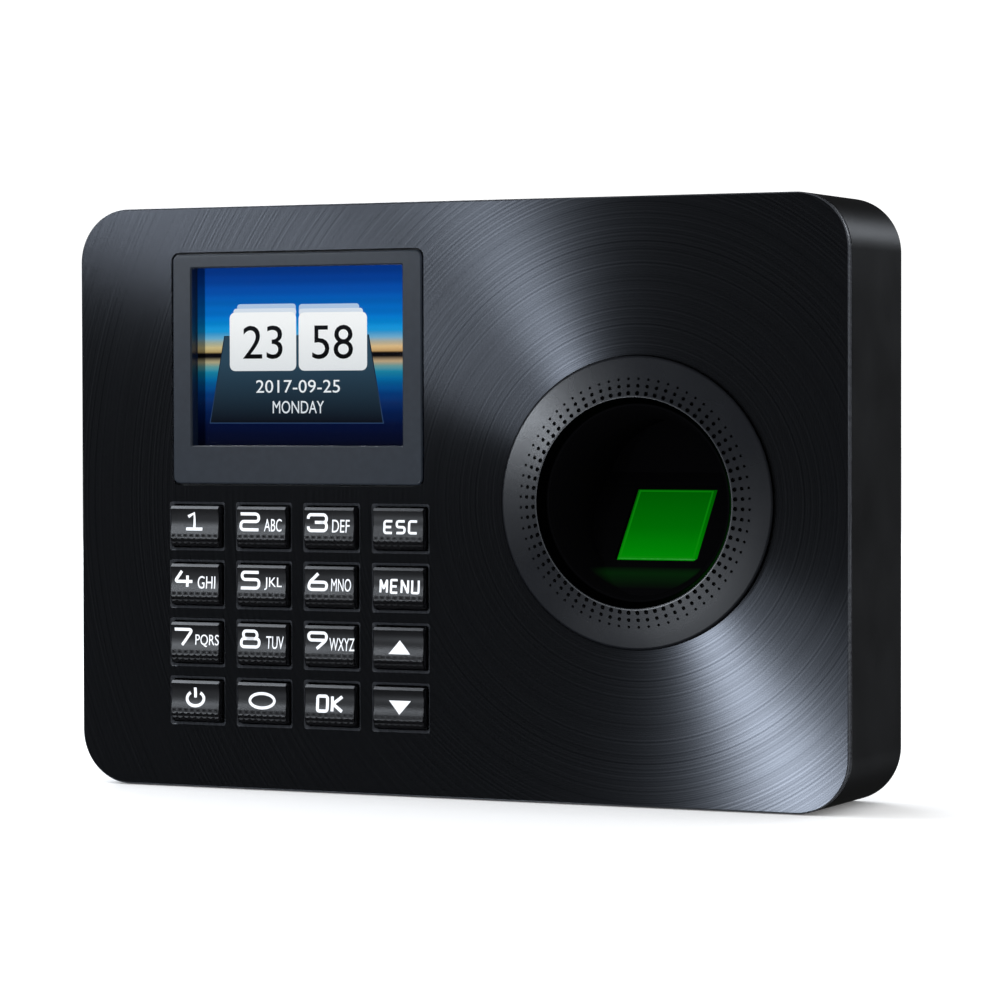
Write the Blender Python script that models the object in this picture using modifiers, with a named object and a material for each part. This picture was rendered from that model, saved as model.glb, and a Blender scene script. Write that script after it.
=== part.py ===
"""Fingerprint scanner terminal: a wall-hung or standing case with a small display, sixteen keys and
an optical finger well. Metres, +Z up, the front faces -Y, and the origin is under the middle of the
case, on the surface that it stands on. Depths are measured backwards from the front panel's face."""

import math

import bmesh
import bpy
from mathutils import Matrix, Vector

# Case
WIDTH = 0.185
HEIGHT = 0.130
DEPTH = 0.033
CORNER_RADIUS = 0.012
CORNER_SEGMENTS = 6
GAP = 0.0003
WALL = 0.0022
PANEL_THICKNESS = 0.0015
PANEL_CHAMFER = 0.0003

# Sensor collar and finger well, turned about one axis
SENSOR_X = 0.0447
SENSOR_Z = 0.0648
COLLAR_PROUD = 0.0023
COLLAR_RADIUS = 0.0314
COLLAR_BORE = 0.0211
SENSOR_HOLE_RADIUS = 0.0258
WELL_RADIUS = 0.0226
WELL_MOUTH_RADIUS = 0.0207
WELL_THROAT_RADIUS = 0.0178
WELL_THROAT_DEPTH = 0.009
WELL_FLOOR_DEPTH = 0.025
WELL_FLANGE_RADIUS = 0.0315
WELL_FLANGE_DEPTH = 0.009
WELL_FLANGE_THICKNESS = 0.0018
WELL_SCREW_CIRCLE = 0.0285
TURNED_STEPS = 48

# The window that the finger rests on: a plane that leans back, with a ramp below it
WINDOW_WIDTH = 0.0192
WINDOW_LENGTH = 0.020
WINDOW_DEPTH = 0.01625
WINDOW_Z = 0.05997
WINDOW_LEAN = math.radians(38.9)
WINDOW_WALL = 0.0015
WINDOW_CORNER = 0.0006
POCKET_WIDTH = 0.0206
POCKET_DROP = 0.0036
RAMP_TOP = (0.0088, 0.0508)
RAMP_FOOT = (0.0008, 0.0432)

# Display
DISPLAY_X = -0.0373
BEZEL_SIZE = (0.0624, 0.0514)
BEZEL_Z = 0.09385
BEZEL_PROUD = 0.0002
BEZEL_CORNER = 0.0015
BEZEL_CLEARANCE = 0.0004
BEZEL_SKIRT_DEPTH = 0.0027
BEZEL_SKIRT_WALL = 0.0012
WINDOW_OPENING = (0.0528, 0.0397)
WINDOW_OPENING_Z = 0.09655
HOUSING_OPENING_MARGIN = 0.0015
LENS_MARGIN = 0.001
LENS_BACK = 0.0038
LCD_SIZE = (0.060, 0.047)
LCD_BACK = 0.0055
LIGHT_BACK = 0.0080
TRAY_DEPTHS = (0.0050, 0.0088)
TRAY_WALL = 0.0005

# Keys
KEY_COLUMNS = (-0.0625, -0.0455, -0.0285, -0.0115)
KEY_ROWS = (0.0586, 0.0456, 0.0325, 0.0194)
KEY_NAMES = (
    ("key_1", "key_2", "key_3", "key_esc"),
    ("key_4", "key_5", "key_6", "key_menu"),
    ("key_7", "key_8", "key_9", "key_up"),
    ("key_power", "key_0", "key_ok", "key_down"),
)
KEY_SIZE = (0.0124, 0.0091)
KEY_PROUD = 0.0014
KEY_CORNER = 0.0007
KEY_FOOT_DROP = 0.0008
KEY_SLOPE_BELOW = -0.0012
KEY_HOLE = (0.0130, 0.0098)
KEY_HOLE_CORNER = 0.0005
KEY_RIM = (0.0142, 0.0110)
KEY_RIM_DEPTH = 0.0006
KEY_FLANGE = (0.0146, 0.0114)
KEY_FLANGE_THICKNESS = 0.001
KEY_POST_RADIUS = 0.0025
KEY_POST_END = 0.008
POST_CLEARANCE = 0.0006
MAT_SIZE = (0.068, 0.050)
MAT_THICKNESS = 0.0012
KEYPAD_BOARD_SIZE = (0.0684, 0.0626)
KEYPAD_BOARD_DEPTH = 0.0092
KEYPAD_SCREW_X = (-0.054, -0.020)
KEYPAD_SCREW_Z = (0.0672, 0.0106)

# Main board, behind the display and the keypad
BOARD_DEPTH = 0.014
BOARD_THICKNESS = 0.0016
BOARD_X = (-0.078, 0.012)
BOARD_Z = (0.008, 0.122)
BOARD_SCREW_X = (-0.0755, 0.004)
BOARD_SCREW_Z = (0.014, 0.116)
PROCESSOR_SIZE = (0.014, 0.014)
PROCESSOR_PLACE = (-0.032, 0.062)
PROCESSOR_HEIGHT = 0.0014
CELL_PLACE = (-0.052, 0.094)
CELL_RADIUS = 0.010
CELL_HEIGHT = 0.0032
HOLDER_SIZE = (0.024, 0.022)
HOLDER_HEIGHT = 0.0045
HOLDER_FLOOR = 0.0010
USB_X = -0.020
USB_SIZE = (0.0132, 0.0059)
USB_METAL = 0.0004
JACK_X = -0.045
JACK_SIZE = (0.0090, 0.0110)
PORT_MOUTH_Z = 0.0004
PORT_LENGTH = 0.014

# Back
COVER_DEPTH = 0.0297
COVER_THICKNESS = 0.003
COVER_SCREW_X = 0.082
COVER_SCREW_Z = (0.0105, 0.1195)
PLATE_SIZE = (0.110, 0.084)
PLATE_THICKNESS = 0.0012
PLATE_HOLE_X = 0.030
PLATE_KEYHOLE_Z = 0.095
PLATE_LOWER_HOLE_Z = 0.035
HOOK_WIDTH = 0.012
HOOK_DEPTH = 0.0275
TONGUE_WIDTH = 0.014
TONGUE_Z = 0.0046
LOCK_SCREW_DEPTH = 0.0272
SPEAKER_X = -0.073
SPEAKER_Z = 0.032
SPEAKER_RADIUS = 0.014

# Screws
SHANK_RADIUS = 0.00125
HEAD_RADIUS = 0.0026
CLEARANCE_RADIUS = 0.0016
BOSS_RADIUS = 0.0026
KEYPAD_BOSS_RADIUS = 0.0023
COVER_BOSS_RADIUS = 0.0036
LONG_BORE = 0.009

FACE_Y = COLLAR_PROUD - (DEPTH + COLLAR_PROUD) / 2
HOUSING_FRONT = PANEL_THICKNESS + GAP
HOUSING_INNER = HOUSING_FRONT + WALL
INTO_WALL = 0.0005
BOARD_SEAT = BOARD_DEPTH + BOARD_THICKNESS + GAP
THROUGH = 0.002

FINISHES = {
    "spun_black_aluminium": ((0.030, 0.031, 0.034), 0.32, 0.9),
    "black_abs": ((0.020, 0.021, 0.024), 0.38, 0.0),
    "grey_gloss_abs": ((0.080, 0.092, 0.108), 0.15, 0.0),
    "key_abs": ((0.022, 0.023, 0.026), 0.28, 0.0),
    "collar_abs": ((0.052, 0.055, 0.060), 0.35, 0.0),
    "clear_acrylic": ((0.900, 0.920, 0.930), 0.05, 0.0),
    "lcd_glass": ((0.010, 0.120, 0.400), 0.10, 0.0),
    "white_diffuser": ((0.800, 0.800, 0.780), 0.50, 0.0),
    "tinned_steel": ((0.560, 0.570, 0.580), 0.30, 1.0),
    "silicone": ((0.180, 0.185, 0.190), 0.60, 0.0),
    "circuit_board": ((0.010, 0.110, 0.045), 0.40, 0.0),
    "prism_glass": ((0.000, 0.350, 0.020), 0.05, 0.0),
    "zinc_steel": ((0.420, 0.430, 0.450), 0.35, 1.0),
    "chip_epoxy": ((0.015, 0.015, 0.016), 0.45, 0.0),
    "ribbon_film": ((0.450, 0.200, 0.030), 0.35, 0.0),
}


def start_scene():
    """Empties the scene and makes one collection for the parts and one for the cutters."""
    for leftover in list(bpy.data.objects):
        bpy.data.objects.remove(leftover, do_unlink=True)
    made = []
    for name in ("fingerprint_terminal", "cutters"):
        collection = bpy.data.collections.new(name)
        bpy.context.scene.collection.children.link(collection)
        made.append(collection)
    return made


PARTS, CUTTERS = start_scene()


def make_materials():
    """One Principled material for each finish."""
    materials = {}
    for name, (colour, roughness, metallic) in FINISHES.items():
        material = bpy.data.materials.new(name)
        material.use_nodes = True
        shader = material.node_tree.nodes["Principled BSDF"]
        shader.inputs["Base Color"].default_value = (*colour, 1.0)
        shader.inputs["Roughness"].default_value = roughness
        shader.inputs["Metallic"].default_value = metallic
        materials[name] = material
    return materials


MATERIALS = make_materials()


def at(x, depth, z):
    """World place of a point given by its depth behind the panel's face."""
    return Vector((x, FACE_Y + depth, z))


def add_part(name, mesh, place, finish, rotation=(0.0, 0.0, 0.0)):
    """Puts a mesh in the scene as a named part."""
    part = bpy.data.objects.new(name, mesh)
    PARTS.objects.link(part)
    part.location = place
    part.rotation_euler = rotation
    if not mesh.materials:
        mesh.materials.append(MATERIALS[finish])
    return part


def add_cutter(name, mesh, place=(0.0, 0.0, 0.0), rotation=(0.0, 0.0, 0.0)):
    """Puts a mesh in the scene as a guide for Boolean modifiers."""
    cutter = bpy.data.objects.new(name, mesh)
    CUTTERS.objects.link(cutter)
    cutter.location = place
    cutter.rotation_euler = rotation
    cutter.hide_render = True
    cutter.display_type = "WIRE"
    return cutter


def combine(target, other, operation):
    """Adds one Boolean modifier: DIFFERENCE, UNION or INTERSECT."""
    modifier = target.modifiers.new(other.name, "BOOLEAN")
    modifier.operation = operation
    modifier.solver = "EXACT"
    modifier.object = other


def mesh_from(bm, name):
    """Turns a bmesh into a mesh."""
    mesh = bpy.data.meshes.new(name)
    bm.to_mesh(mesh)
    bm.free()
    return mesh


def edges_along(bm, axis):
    """Edges that run along one axis (0, 1 or 2)."""
    found = []
    for edge in bm.edges:
        run = (edge.verts[1].co - edge.verts[0].co).normalized()
        if abs(run[axis]) > 0.999:
            found.append(edge)
    return found


def block(name, width, thickness, height, radius=0.0, segments=2, axis=1):
    """A box about its own middle, with its four edges along one axis rounded."""
    bm = bmesh.new()
    bmesh.ops.create_cube(bm, size=1.0)
    bmesh.ops.scale(bm, vec=(width, thickness, height), verts=bm.verts)
    if radius:
        bmesh.ops.bevel(
            bm,
            geom=edges_along(bm, axis),
            offset=radius,
            segments=segments,
            profile=0.5,
            affect="EDGES",
        )
    return mesh_from(bm, name)


def slab(name, size, depths, radius=0.0, segments=2):
    """A plate parallel to the front, from one depth to another, about its own middle."""
    return block(name, size[0], depths[1] - depths[0], size[1], radius, segments)


def slab_place(x, z, depths):
    """Where the middle of such a plate goes."""
    return at(x, (depths[0] + depths[1]) / 2, z)


def flared_slab(name, size, depths, rim_size, rim_depth, radius, segments=2):
    """A plate whose front stands out and widens to a rim, as a cutter for a chamfered hole."""
    bm = bmesh.new()
    bm.from_mesh(slab(name, size, (rim_depth, depths[1]), radius, segments))
    front = min(bm.faces, key=lambda face: face.calc_center_median().y)
    pushed = bmesh.ops.extrude_discrete_faces(bm, faces=[front])["faces"][0]
    run = rim_depth - depths[0]
    bmesh.ops.translate(bm, vec=(0.0, -run, 0.0), verts=pushed.verts)
    spread = run / rim_depth
    wide = size[0] + (rim_size[0] - size[0]) * spread
    high = size[1] + (rim_size[1] - size[1]) * spread
    bmesh.ops.scale(bm, vec=(wide / size[0], 1.0, high / size[1]), verts=pushed.verts)
    return mesh_from(bm, name)


def gather(name, pieces):
    """One mesh from several, each a pair of mesh and place."""
    bm = bmesh.new()
    for mesh, place in pieces:
        start = len(bm.verts)
        bm.from_mesh(mesh)
        bm.verts.ensure_lookup_table()
        bmesh.ops.translate(bm, vec=place, verts=bm.verts[start:])
    return mesh_from(bm, name)


def rod(name, radius, length, steps=12, axis="Y"):
    """A cylinder about its own middle, along one axis."""
    bm = bmesh.new()
    bmesh.ops.create_cone(
        bm,
        cap_ends=True,
        segments=steps,
        radius1=radius,
        radius2=radius,
        depth=length,
    )
    if axis == "Y":
        bmesh.ops.rotate(bm, matrix=Matrix.Rotation(math.radians(90), 3, "X"), verts=bm.verts)
    return mesh_from(bm, name)


def rods(name, spots, depths, radius, steps=12):
    """Cylinders along the depth at several (x, z) spots, as one mesh."""
    one = rod(name + "_one", radius, depths[1] - depths[0], steps)
    middle = (depths[0] + depths[1]) / 2
    return gather(name, [(one, at(x, middle, z)) for x, z in spots])


def turn(thing, profile, closed, steps=TURNED_STEPS):
    """Gives an object a Screw of a profile of (radius, depth) points, front to back outside."""
    bm = bmesh.new()
    points = [bm.verts.new((radius, 0.0, -depth)) for radius, depth in profile]
    for first, second in zip(points, points[1:]):
        bm.edges.new((first, second))
    if closed:
        bm.edges.new((points[-1], points[0]))
    bm.to_mesh(thing.data)
    bm.free()
    screw = thing.modifiers.new("turn", "SCREW")
    screw.axis = "Z"
    screw.steps = steps
    screw.render_steps = steps
    screw.use_merge_vertices = True
    screw.merge_threshold = 0.00001
    screw.use_smooth_shade = True


FACING_FRONT = (math.radians(90), 0.0, 0.0)
FACING_BACK = (math.radians(-90), 0.0, 0.0)
FACING_DOWN = (math.radians(180), 0.0, 0.0)


def turned_part(name, profile, closed, place, finish, rotation=FACING_FRONT, steps=TURNED_STEPS):
    """A turned part. Its profile's depth 0 is at its place."""
    part = add_part(name, bpy.data.meshes.new(name), place, finish, rotation)
    turn(part, profile, closed, steps)
    return part


def turned_cutter(name, profile, place, steps=TURNED_STEPS):
    """A turned cutter, solid to its axis."""
    cutter = add_cutter(name, bpy.data.meshes.new(name), place, FACING_FRONT)
    turn(cutter, profile, False, steps)
    return cutter


SIDE_ON = Matrix(((0.0, 0.0, 1.0), (1.0, 0.0, 0.0), (0.0, 1.0, 0.0))).to_4x4()


def extruded(name, outline, width, x):
    """A mesh of a flat (depth, z) outline, as thick across X as width, in world place."""
    curve = bpy.data.curves.new(name, "CURVE")
    curve.dimensions = "2D"
    curve.fill_mode = "BOTH"
    curve.extrude = width / 2
    spline = curve.splines.new("POLY")
    spline.points.add(len(outline) - 1)
    for point, (depth, z) in zip(spline.points, outline):
        point.co = (FACE_Y + depth, z, 0.0, 1.0)
    spline.use_cyclic_u = True
    drawn = bpy.data.objects.new(name, curve)
    CUTTERS.objects.link(drawn)
    drawn.matrix_world = Matrix.Translation((x, 0.0, 0.0)) @ SIDE_ON
    bpy.context.view_layer.update()
    flat = bpy.data.meshes.new_from_object(drawn.evaluated_get(bpy.context.evaluated_depsgraph_get()))
    bm = bmesh.new()
    bm.from_mesh(flat)
    bmesh.ops.remove_doubles(bm, verts=bm.verts, dist=0.000001)
    bmesh.ops.transform(bm, matrix=drawn.matrix_world, verts=bm.verts)
    bpy.data.objects.remove(drawn, do_unlink=True)
    bpy.data.meshes.remove(flat)
    return mesh_from(bm, name)


def on_window(along, out):
    """(depth, z) of a point on the leaning window: along its slope and out of its face."""
    depth = WINDOW_DEPTH + along * math.sin(WINDOW_LEAN) - out * math.cos(WINDOW_LEAN)
    z = WINDOW_Z + along * math.cos(WINDOW_LEAN) + out * math.sin(WINDOW_LEAN)
    return depth, z


def screw(name, place, length, head=0.0014, rotation=FACING_BACK, head_radius=HEAD_RADIUS):
    """A pan head screw. Its place is the middle of the seat under its head."""
    profile = (
        (0.0, -head),
        (head_radius, -head),
        (head_radius, 0.0),
        (SHANK_RADIUS, 0.0),
        (SHANK_RADIUS, length),
        (0.0, length),
    )
    turned_part(name, profile, False, place, "zinc_steel", rotation, 10)


def key_spots():
    """Name and (x, z) of every key."""
    for names, z in zip(KEY_NAMES, KEY_ROWS):
        for name, x in zip(names, KEY_COLUMNS):
            yield name, x, z


def pairs(xs, zs):
    """Every (x, z) of two lists."""
    return [(x, z) for z in zs for x in xs]


KEYPAD_SCREWS = pairs(KEYPAD_SCREW_X, KEYPAD_SCREW_Z)
BOARD_SCREWS = pairs(BOARD_SCREW_X, BOARD_SCREW_Z)
COVER_SCREWS = pairs((-COVER_SCREW_X, COVER_SCREW_X), COVER_SCREW_Z)
WELL_SCREWS = [
    (
        SENSOR_X + WELL_SCREW_CIRCLE * math.cos(math.radians(angle)),
        SENSOR_Z + WELL_SCREW_CIRCLE * math.sin(math.radians(angle)),
    )
    for angle in (90, 210, 330)
]


def key_hole_cutter(name, depths, rim):
    """All sixteen key holes as one cutter, with or without their chamfered rims."""
    if rim:
        hole = flared_slab(name + "_one", KEY_HOLE, depths, KEY_RIM, KEY_RIM_DEPTH, KEY_HOLE_CORNER, 1)
    else:
        hole = slab(name + "_one", KEY_HOLE, depths, KEY_HOLE_CORNER, 1)
    # The flared shape keeps its own middle on the straight part's middle.
    middle_depths = (KEY_RIM_DEPTH, depths[1]) if rim else depths
    spots = [(hole, slab_place(x, z, middle_depths)) for _, x, z in key_spots()]
    return add_cutter(name, gather(name, spots))


def front_panel():
    """The aluminium plate over the whole front."""
    depths = (0.0, PANEL_THICKNESS)
    bm = bmesh.new()
    bm.from_mesh(slab("front_panel", (WIDTH, HEIGHT), depths, CORNER_RADIUS, CORNER_SEGMENTS))
    front = min(bm.faces, key=lambda face: face.calc_center_median().y)
    bmesh.ops.bevel(
        bm,
        geom=list(front.edges),
        offset=PANEL_CHAMFER,
        segments=1,
        affect="EDGES",
    )
    panel = add_part(
        "front_panel",
        mesh_from(bm, "front_panel"),
        slab_place(0.0, HEIGHT / 2, depths),
        "spun_black_aluminium",
    )
    past = (-THROUGH, PANEL_THICKNESS + THROUGH)
    opening = (BEZEL_SIZE[0] + 2 * BEZEL_CLEARANCE, BEZEL_SIZE[1] + 2 * BEZEL_CLEARANCE)
    display = slab("display_cut", opening, past, BEZEL_CORNER + BEZEL_CLEARANCE, 3)
    combine(panel, add_cutter("display_cut", display, slab_place(DISPLAY_X, BEZEL_Z, past)), "DIFFERENCE")
    hole = rod("sensor_cut", SENSOR_HOLE_RADIUS, past[1] - past[0], TURNED_STEPS)
    combine(panel, add_cutter("sensor_cut", hole, slab_place(SENSOR_X, SENSOR_Z, past)), "DIFFERENCE")
    combine(panel, key_hole_cutter("key_rim_cuts", past, True), "DIFFERENCE")


def front_housing():
    """The shell that everything hangs in: four walls, a front wall, and its screw bosses."""
    depths = (HOUSING_FRONT, DEPTH)
    bm = bmesh.new()
    bm.from_mesh(slab("front_housing", (WIDTH, HEIGHT), depths, CORNER_RADIUS, CORNER_SEGMENTS))
    back = max(bm.faces, key=lambda face: face.calc_center_median().y)
    bmesh.ops.delete(bm, geom=[back], context="FACES")
    place = slab_place(0.0, HEIGHT / 2, depths)
    housing = add_part("front_housing", mesh_from(bm, "front_housing"), place, "black_abs")
    shell = housing.modifiers.new("wall", "SOLIDIFY")
    shell.thickness = WALL
    shell.offset = -1.0
    shell.use_even_offset = True

    root = HOUSING_INNER - INTO_WALL
    bosses = [
        ("keypad_bosses", KEYPAD_SCREWS, KEYPAD_BOARD_DEPTH - GAP, KEYPAD_BOSS_RADIUS),
        ("board_bosses", BOARD_SCREWS, BOARD_DEPTH - GAP, BOSS_RADIUS),
        ("well_bosses", WELL_SCREWS, WELL_FLANGE_DEPTH - GAP, BOSS_RADIUS),
        ("cover_bosses", COVER_SCREWS, COVER_DEPTH - GAP, COVER_BOSS_RADIUS),
    ]
    for name, spots, top, radius in bosses:
        mesh = rods(name, spots, (root, top), radius)
        combine(housing, add_cutter(name, mesh), "UNION")
        bore = CLEARANCE_RADIUS + (0.0002 if name == "cover_bosses" else 0.0)
        bore_floor = top - LONG_BORE if top > KEYPAD_BOARD_DEPTH else root + 2 * INTO_WALL
        drilled = rods(name + "_bores", spots, (bore_floor, top + THROUGH), bore, 8)
        combine(housing, add_cutter(name + "_bores", drilled), "DIFFERENCE")

    past = (HOUSING_FRONT - THROUGH, HOUSING_INNER + THROUGH)
    opening = tuple(side + 2 * HOUSING_OPENING_MARGIN for side in WINDOW_OPENING)
    display = slab("housing_display_cut", opening, past, 0.001, 1)
    display_place = slab_place(DISPLAY_X, WINDOW_OPENING_Z, past)
    combine(housing, add_cutter("housing_display_cut", display, display_place), "DIFFERENCE")
    hole = rod("housing_sensor_cut", SENSOR_HOLE_RADIUS, past[1] - past[0], TURNED_STEPS)
    hole_place = slab_place(SENSOR_X, SENSOR_Z, past)
    combine(housing, add_cutter("housing_sensor_cut", hole, hole_place), "DIFFERENCE")
    combine(housing, key_hole_cutter("key_cuts", past, False), "DIFFERENCE")

    port_size = 2 * (WALL + THROUGH)
    ports = [
        (
            block("usb_cut", USB_SIZE[0] + 0.0010, USB_SIZE[1] + 0.0012, port_size, 0.0006, 1, 2),
            at(USB_X, BOARD_SEAT + USB_SIZE[1] / 2, 0.0),
        ),
        (
            block("jack_cut", JACK_SIZE[0] + 0.0008, JACK_SIZE[1] + 0.0008, port_size, 0.0006, 1, 2),
            at(JACK_X, BOARD_SEAT + JACK_SIZE[1] / 2, 0.0),
        ),
        (rod("lock_cut", CLEARANCE_RADIUS, port_size, 12, "Z"), at(0.0, LOCK_SCREW_DEPTH, 0.0)),
    ]
    combine(housing, add_cutter("port_cuts", gather("port_cuts", ports)), "DIFFERENCE")
    sink = rod("lock_sink", HEAD_RADIUS + 0.0004, 0.003, 16, "Z")
    combine(housing, add_cutter("lock_sink", sink, at(0.0, LOCK_SCREW_DEPTH, 0.0)), "DIFFERENCE")


def display():
    """Bezel, clear window, LCD glass, back light and metal tray, front to back."""
    flange = (-BEZEL_PROUD, PANEL_THICKNESS)
    bezel = add_part(
        "display_bezel",
        slab("display_bezel", BEZEL_SIZE, flange, BEZEL_CORNER, 3),
        slab_place(DISPLAY_X, BEZEL_Z, flange),
        "grey_gloss_abs",
    )
    skirt_depths = (PANEL_THICKNESS - INTO_WALL, BEZEL_SKIRT_DEPTH)
    skirt_size = tuple(side + 2 * BEZEL_SKIRT_WALL for side in WINDOW_OPENING)
    skirt = slab("bezel_skirt", skirt_size, skirt_depths, 0.001, 1)
    place = slab_place(DISPLAY_X, WINDOW_OPENING_Z, skirt_depths)
    combine(bezel, add_cutter("bezel_skirt", skirt, place), "UNION")
    past = (-BEZEL_PROUD - THROUGH, BEZEL_SKIRT_DEPTH + THROUGH)
    opening = slab("bezel_opening", WINDOW_OPENING, past, 0.0004, 1)
    place = slab_place(DISPLAY_X, WINDOW_OPENING_Z, past)
    combine(bezel, add_cutter("bezel_opening", opening, place), "DIFFERENCE")

    lens_depths = (BEZEL_SKIRT_DEPTH + GAP, LENS_BACK)
    lens_size = tuple(side + 2 * LENS_MARGIN for side in WINDOW_OPENING)
    lens = slab("display_lens", lens_size, lens_depths, 0.001, 1)
    add_part("display_lens", lens, slab_place(DISPLAY_X, WINDOW_OPENING_Z, lens_depths), "clear_acrylic")

    panel_depths = (HOUSING_INNER + GAP, LCD_BACK)
    panel = slab("lcd_panel", LCD_SIZE, panel_depths)
    add_part("lcd_panel", panel, slab_place(DISPLAY_X, WINDOW_OPENING_Z, panel_depths), "lcd_glass")
    light_depths = (LCD_BACK + GAP, LIGHT_BACK)
    light = slab("backlight", LCD_SIZE, light_depths)
    add_part("backlight", light, slab_place(DISPLAY_X, WINDOW_OPENING_Z, light_depths), "white_diffuser")

    tray_size = tuple(side + 2 * (GAP + TRAY_WALL) for side in LCD_SIZE)
    tray = add_part(
        "lcd_frame",
        slab("lcd_frame", tray_size, TRAY_DEPTHS),
        slab_place(DISPLAY_X, WINDOW_OPENING_Z, TRAY_DEPTHS),
        "tinned_steel",
    )
    hollow_depths = (TRAY_DEPTHS[0] - THROUGH, light_depths[1] + GAP)
    hollow_size = tuple(side + 2 * GAP for side in LCD_SIZE)
    hollow = slab("tray_hollow", hollow_size, hollow_depths)
    place = slab_place(DISPLAY_X, WINDOW_OPENING_Z, hollow_depths)
    combine(tray, add_cutter("tray_hollow", hollow, place), "DIFFERENCE")


def ribbon(name, x, width, start, end, flat):
    """A flex ribbon: flat at its start and its end, sloping between, as (depth, z) places."""
    thick = 0.0003
    outline = (
        (start[0], start[1]),
        (start[0], start[1] + flat),
        (end[0], end[1] - flat),
        (end[0], end[1]),
        (end[0] + thick, end[1]),
        (end[0] + thick, end[1] - flat),
        (start[0] + thick, start[1] + flat),
        (start[0] + thick, start[1]),
    )
    add_part(name, extruded(name, outline, width, x), (0.0, 0.0, 0.0), "ribbon_film")


def keys():
    """Sixteen key caps that share one mesh, each placed by the middle of its face."""
    face = at(0.0, -KEY_PROUD, 0.0).y
    cap_length = KEY_PROUD + HOUSING_INNER + GAP + INTO_WALL
    bm = bmesh.new()
    bm.from_mesh(block("key_cap", KEY_SIZE[0], cap_length, KEY_SIZE[1], KEY_CORNER, 1))
    bmesh.ops.translate(bm, vec=(0.0, cap_length / 2, 0.0), verts=bm.verts)
    bmesh.ops.bisect_plane(
        bm,
        geom=list(bm.verts) + list(bm.edges) + list(bm.faces),
        plane_co=(0.0, 0.0, KEY_SLOPE_BELOW),
        plane_no=(0.0, 0.0, 1.0),
    )
    slope = KEY_FOOT_DROP / (KEY_SIZE[1] / 2 + KEY_SLOPE_BELOW)
    for vert in bm.verts:
        if vert.co.y < 0.0001 and vert.co.z < KEY_SLOPE_BELOW:
            vert.co.y += slope * (KEY_SLOPE_BELOW - vert.co.z)
    cap = add_cutter("key_pattern", mesh_from(bm, "key_cap"))

    flange_front = KEY_PROUD + HOUSING_INNER + GAP
    flange = block("key_flange", KEY_FLANGE[0], KEY_FLANGE_THICKNESS, KEY_FLANGE[1])
    flange_place = (0.0, flange_front + KEY_FLANGE_THICKNESS / 2, 0.0)
    combine(cap, add_cutter("key_flange", flange, flange_place), "UNION")
    post_front = flange_front + KEY_FLANGE_THICKNESS - INTO_WALL
    post_length = KEY_PROUD + KEY_POST_END - post_front
    post = rod("key_post", KEY_POST_RADIUS, post_length, 8)
    combine(cap, add_cutter("key_post", post, (0.0, post_front + post_length / 2, 0.0)), "UNION")

    bpy.context.view_layer.update()
    whole = bpy.data.meshes.new_from_object(cap.evaluated_get(bpy.context.evaluated_depsgraph_get()))
    whole.name = "key"
    for leftover in (cap, bpy.data.objects["key_flange"], bpy.data.objects["key_post"]):
        bpy.data.objects.remove(leftover, do_unlink=True)
    for name, x, z in key_spots():
        add_part(name, whole, (x, face, z), "key_abs")


def keypad():
    """The silicone mat that the key posts pass through, and the board that they press on."""
    mat_depths = (KEYPAD_BOARD_DEPTH - GAP - MAT_THICKNESS, KEYPAD_BOARD_DEPTH - GAP)
    middle_x = (KEY_COLUMNS[0] + KEY_COLUMNS[-1]) / 2
    middle_z = (KEY_ROWS[0] + KEY_ROWS[-1]) / 2
    mat = add_part(
        "keypad_mat",
        slab("keypad_mat", MAT_SIZE, mat_depths, 0.002, 1),
        slab_place(middle_x, middle_z, mat_depths),
        "silicone",
    )
    past = (mat_depths[0] - THROUGH, mat_depths[1] + THROUGH)
    spots = [(x, z) for _, x, z in key_spots()]
    posts = rods("mat_cuts", spots, past, KEY_POST_RADIUS + POST_CLEARANCE, 8)
    combine(mat, add_cutter("mat_cuts", posts), "DIFFERENCE")

    depths = (KEYPAD_BOARD_DEPTH, KEYPAD_BOARD_DEPTH + BOARD_THICKNESS)
    board = add_part(
        "keypad_board",
        slab("keypad_board", KEYPAD_BOARD_SIZE, depths, 0.001, 1),
        slab_place(middle_x, middle_z, depths),
        "circuit_board",
    )
    past = (depths[0] - THROUGH, depths[1] + THROUGH)
    holes = rods("keypad_board_cuts", KEYPAD_SCREWS, past, CLEARANCE_RADIUS, 8)
    combine(board, add_cutter("keypad_board_cuts", holes), "DIFFERENCE")
    for number, (x, z) in enumerate(KEYPAD_SCREWS, 1):
        screw(f"keypad_screw_{number}", at(x, depths[1] + GAP, z), 0.0042)


def sensor_collar():
    """The conical ring around the finger opening, with a skirt into the housing."""
    profile = (
        (0.0226, -COLLAR_PROUD),
        (0.0309, -0.00105),
        (COLLAR_RADIUS, -0.00075),
        (COLLAR_RADIUS, -GAP),
        (SENSOR_HOLE_RADIUS - 0.0004, -GAP),
        (SENSOR_HOLE_RADIUS - 0.0004, 0.0014),
        (WELL_RADIUS + 0.0004, 0.0014),
        (WELL_RADIUS + 0.0004, 0.0),
        (COLLAR_BORE, 0.0),
        (0.0223, 0.0002 - COLLAR_PROUD),
    )
    turned_part("sensor_collar", profile, True, at(SENSOR_X, 0.0, SENSOR_Z), "collar_abs")


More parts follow.
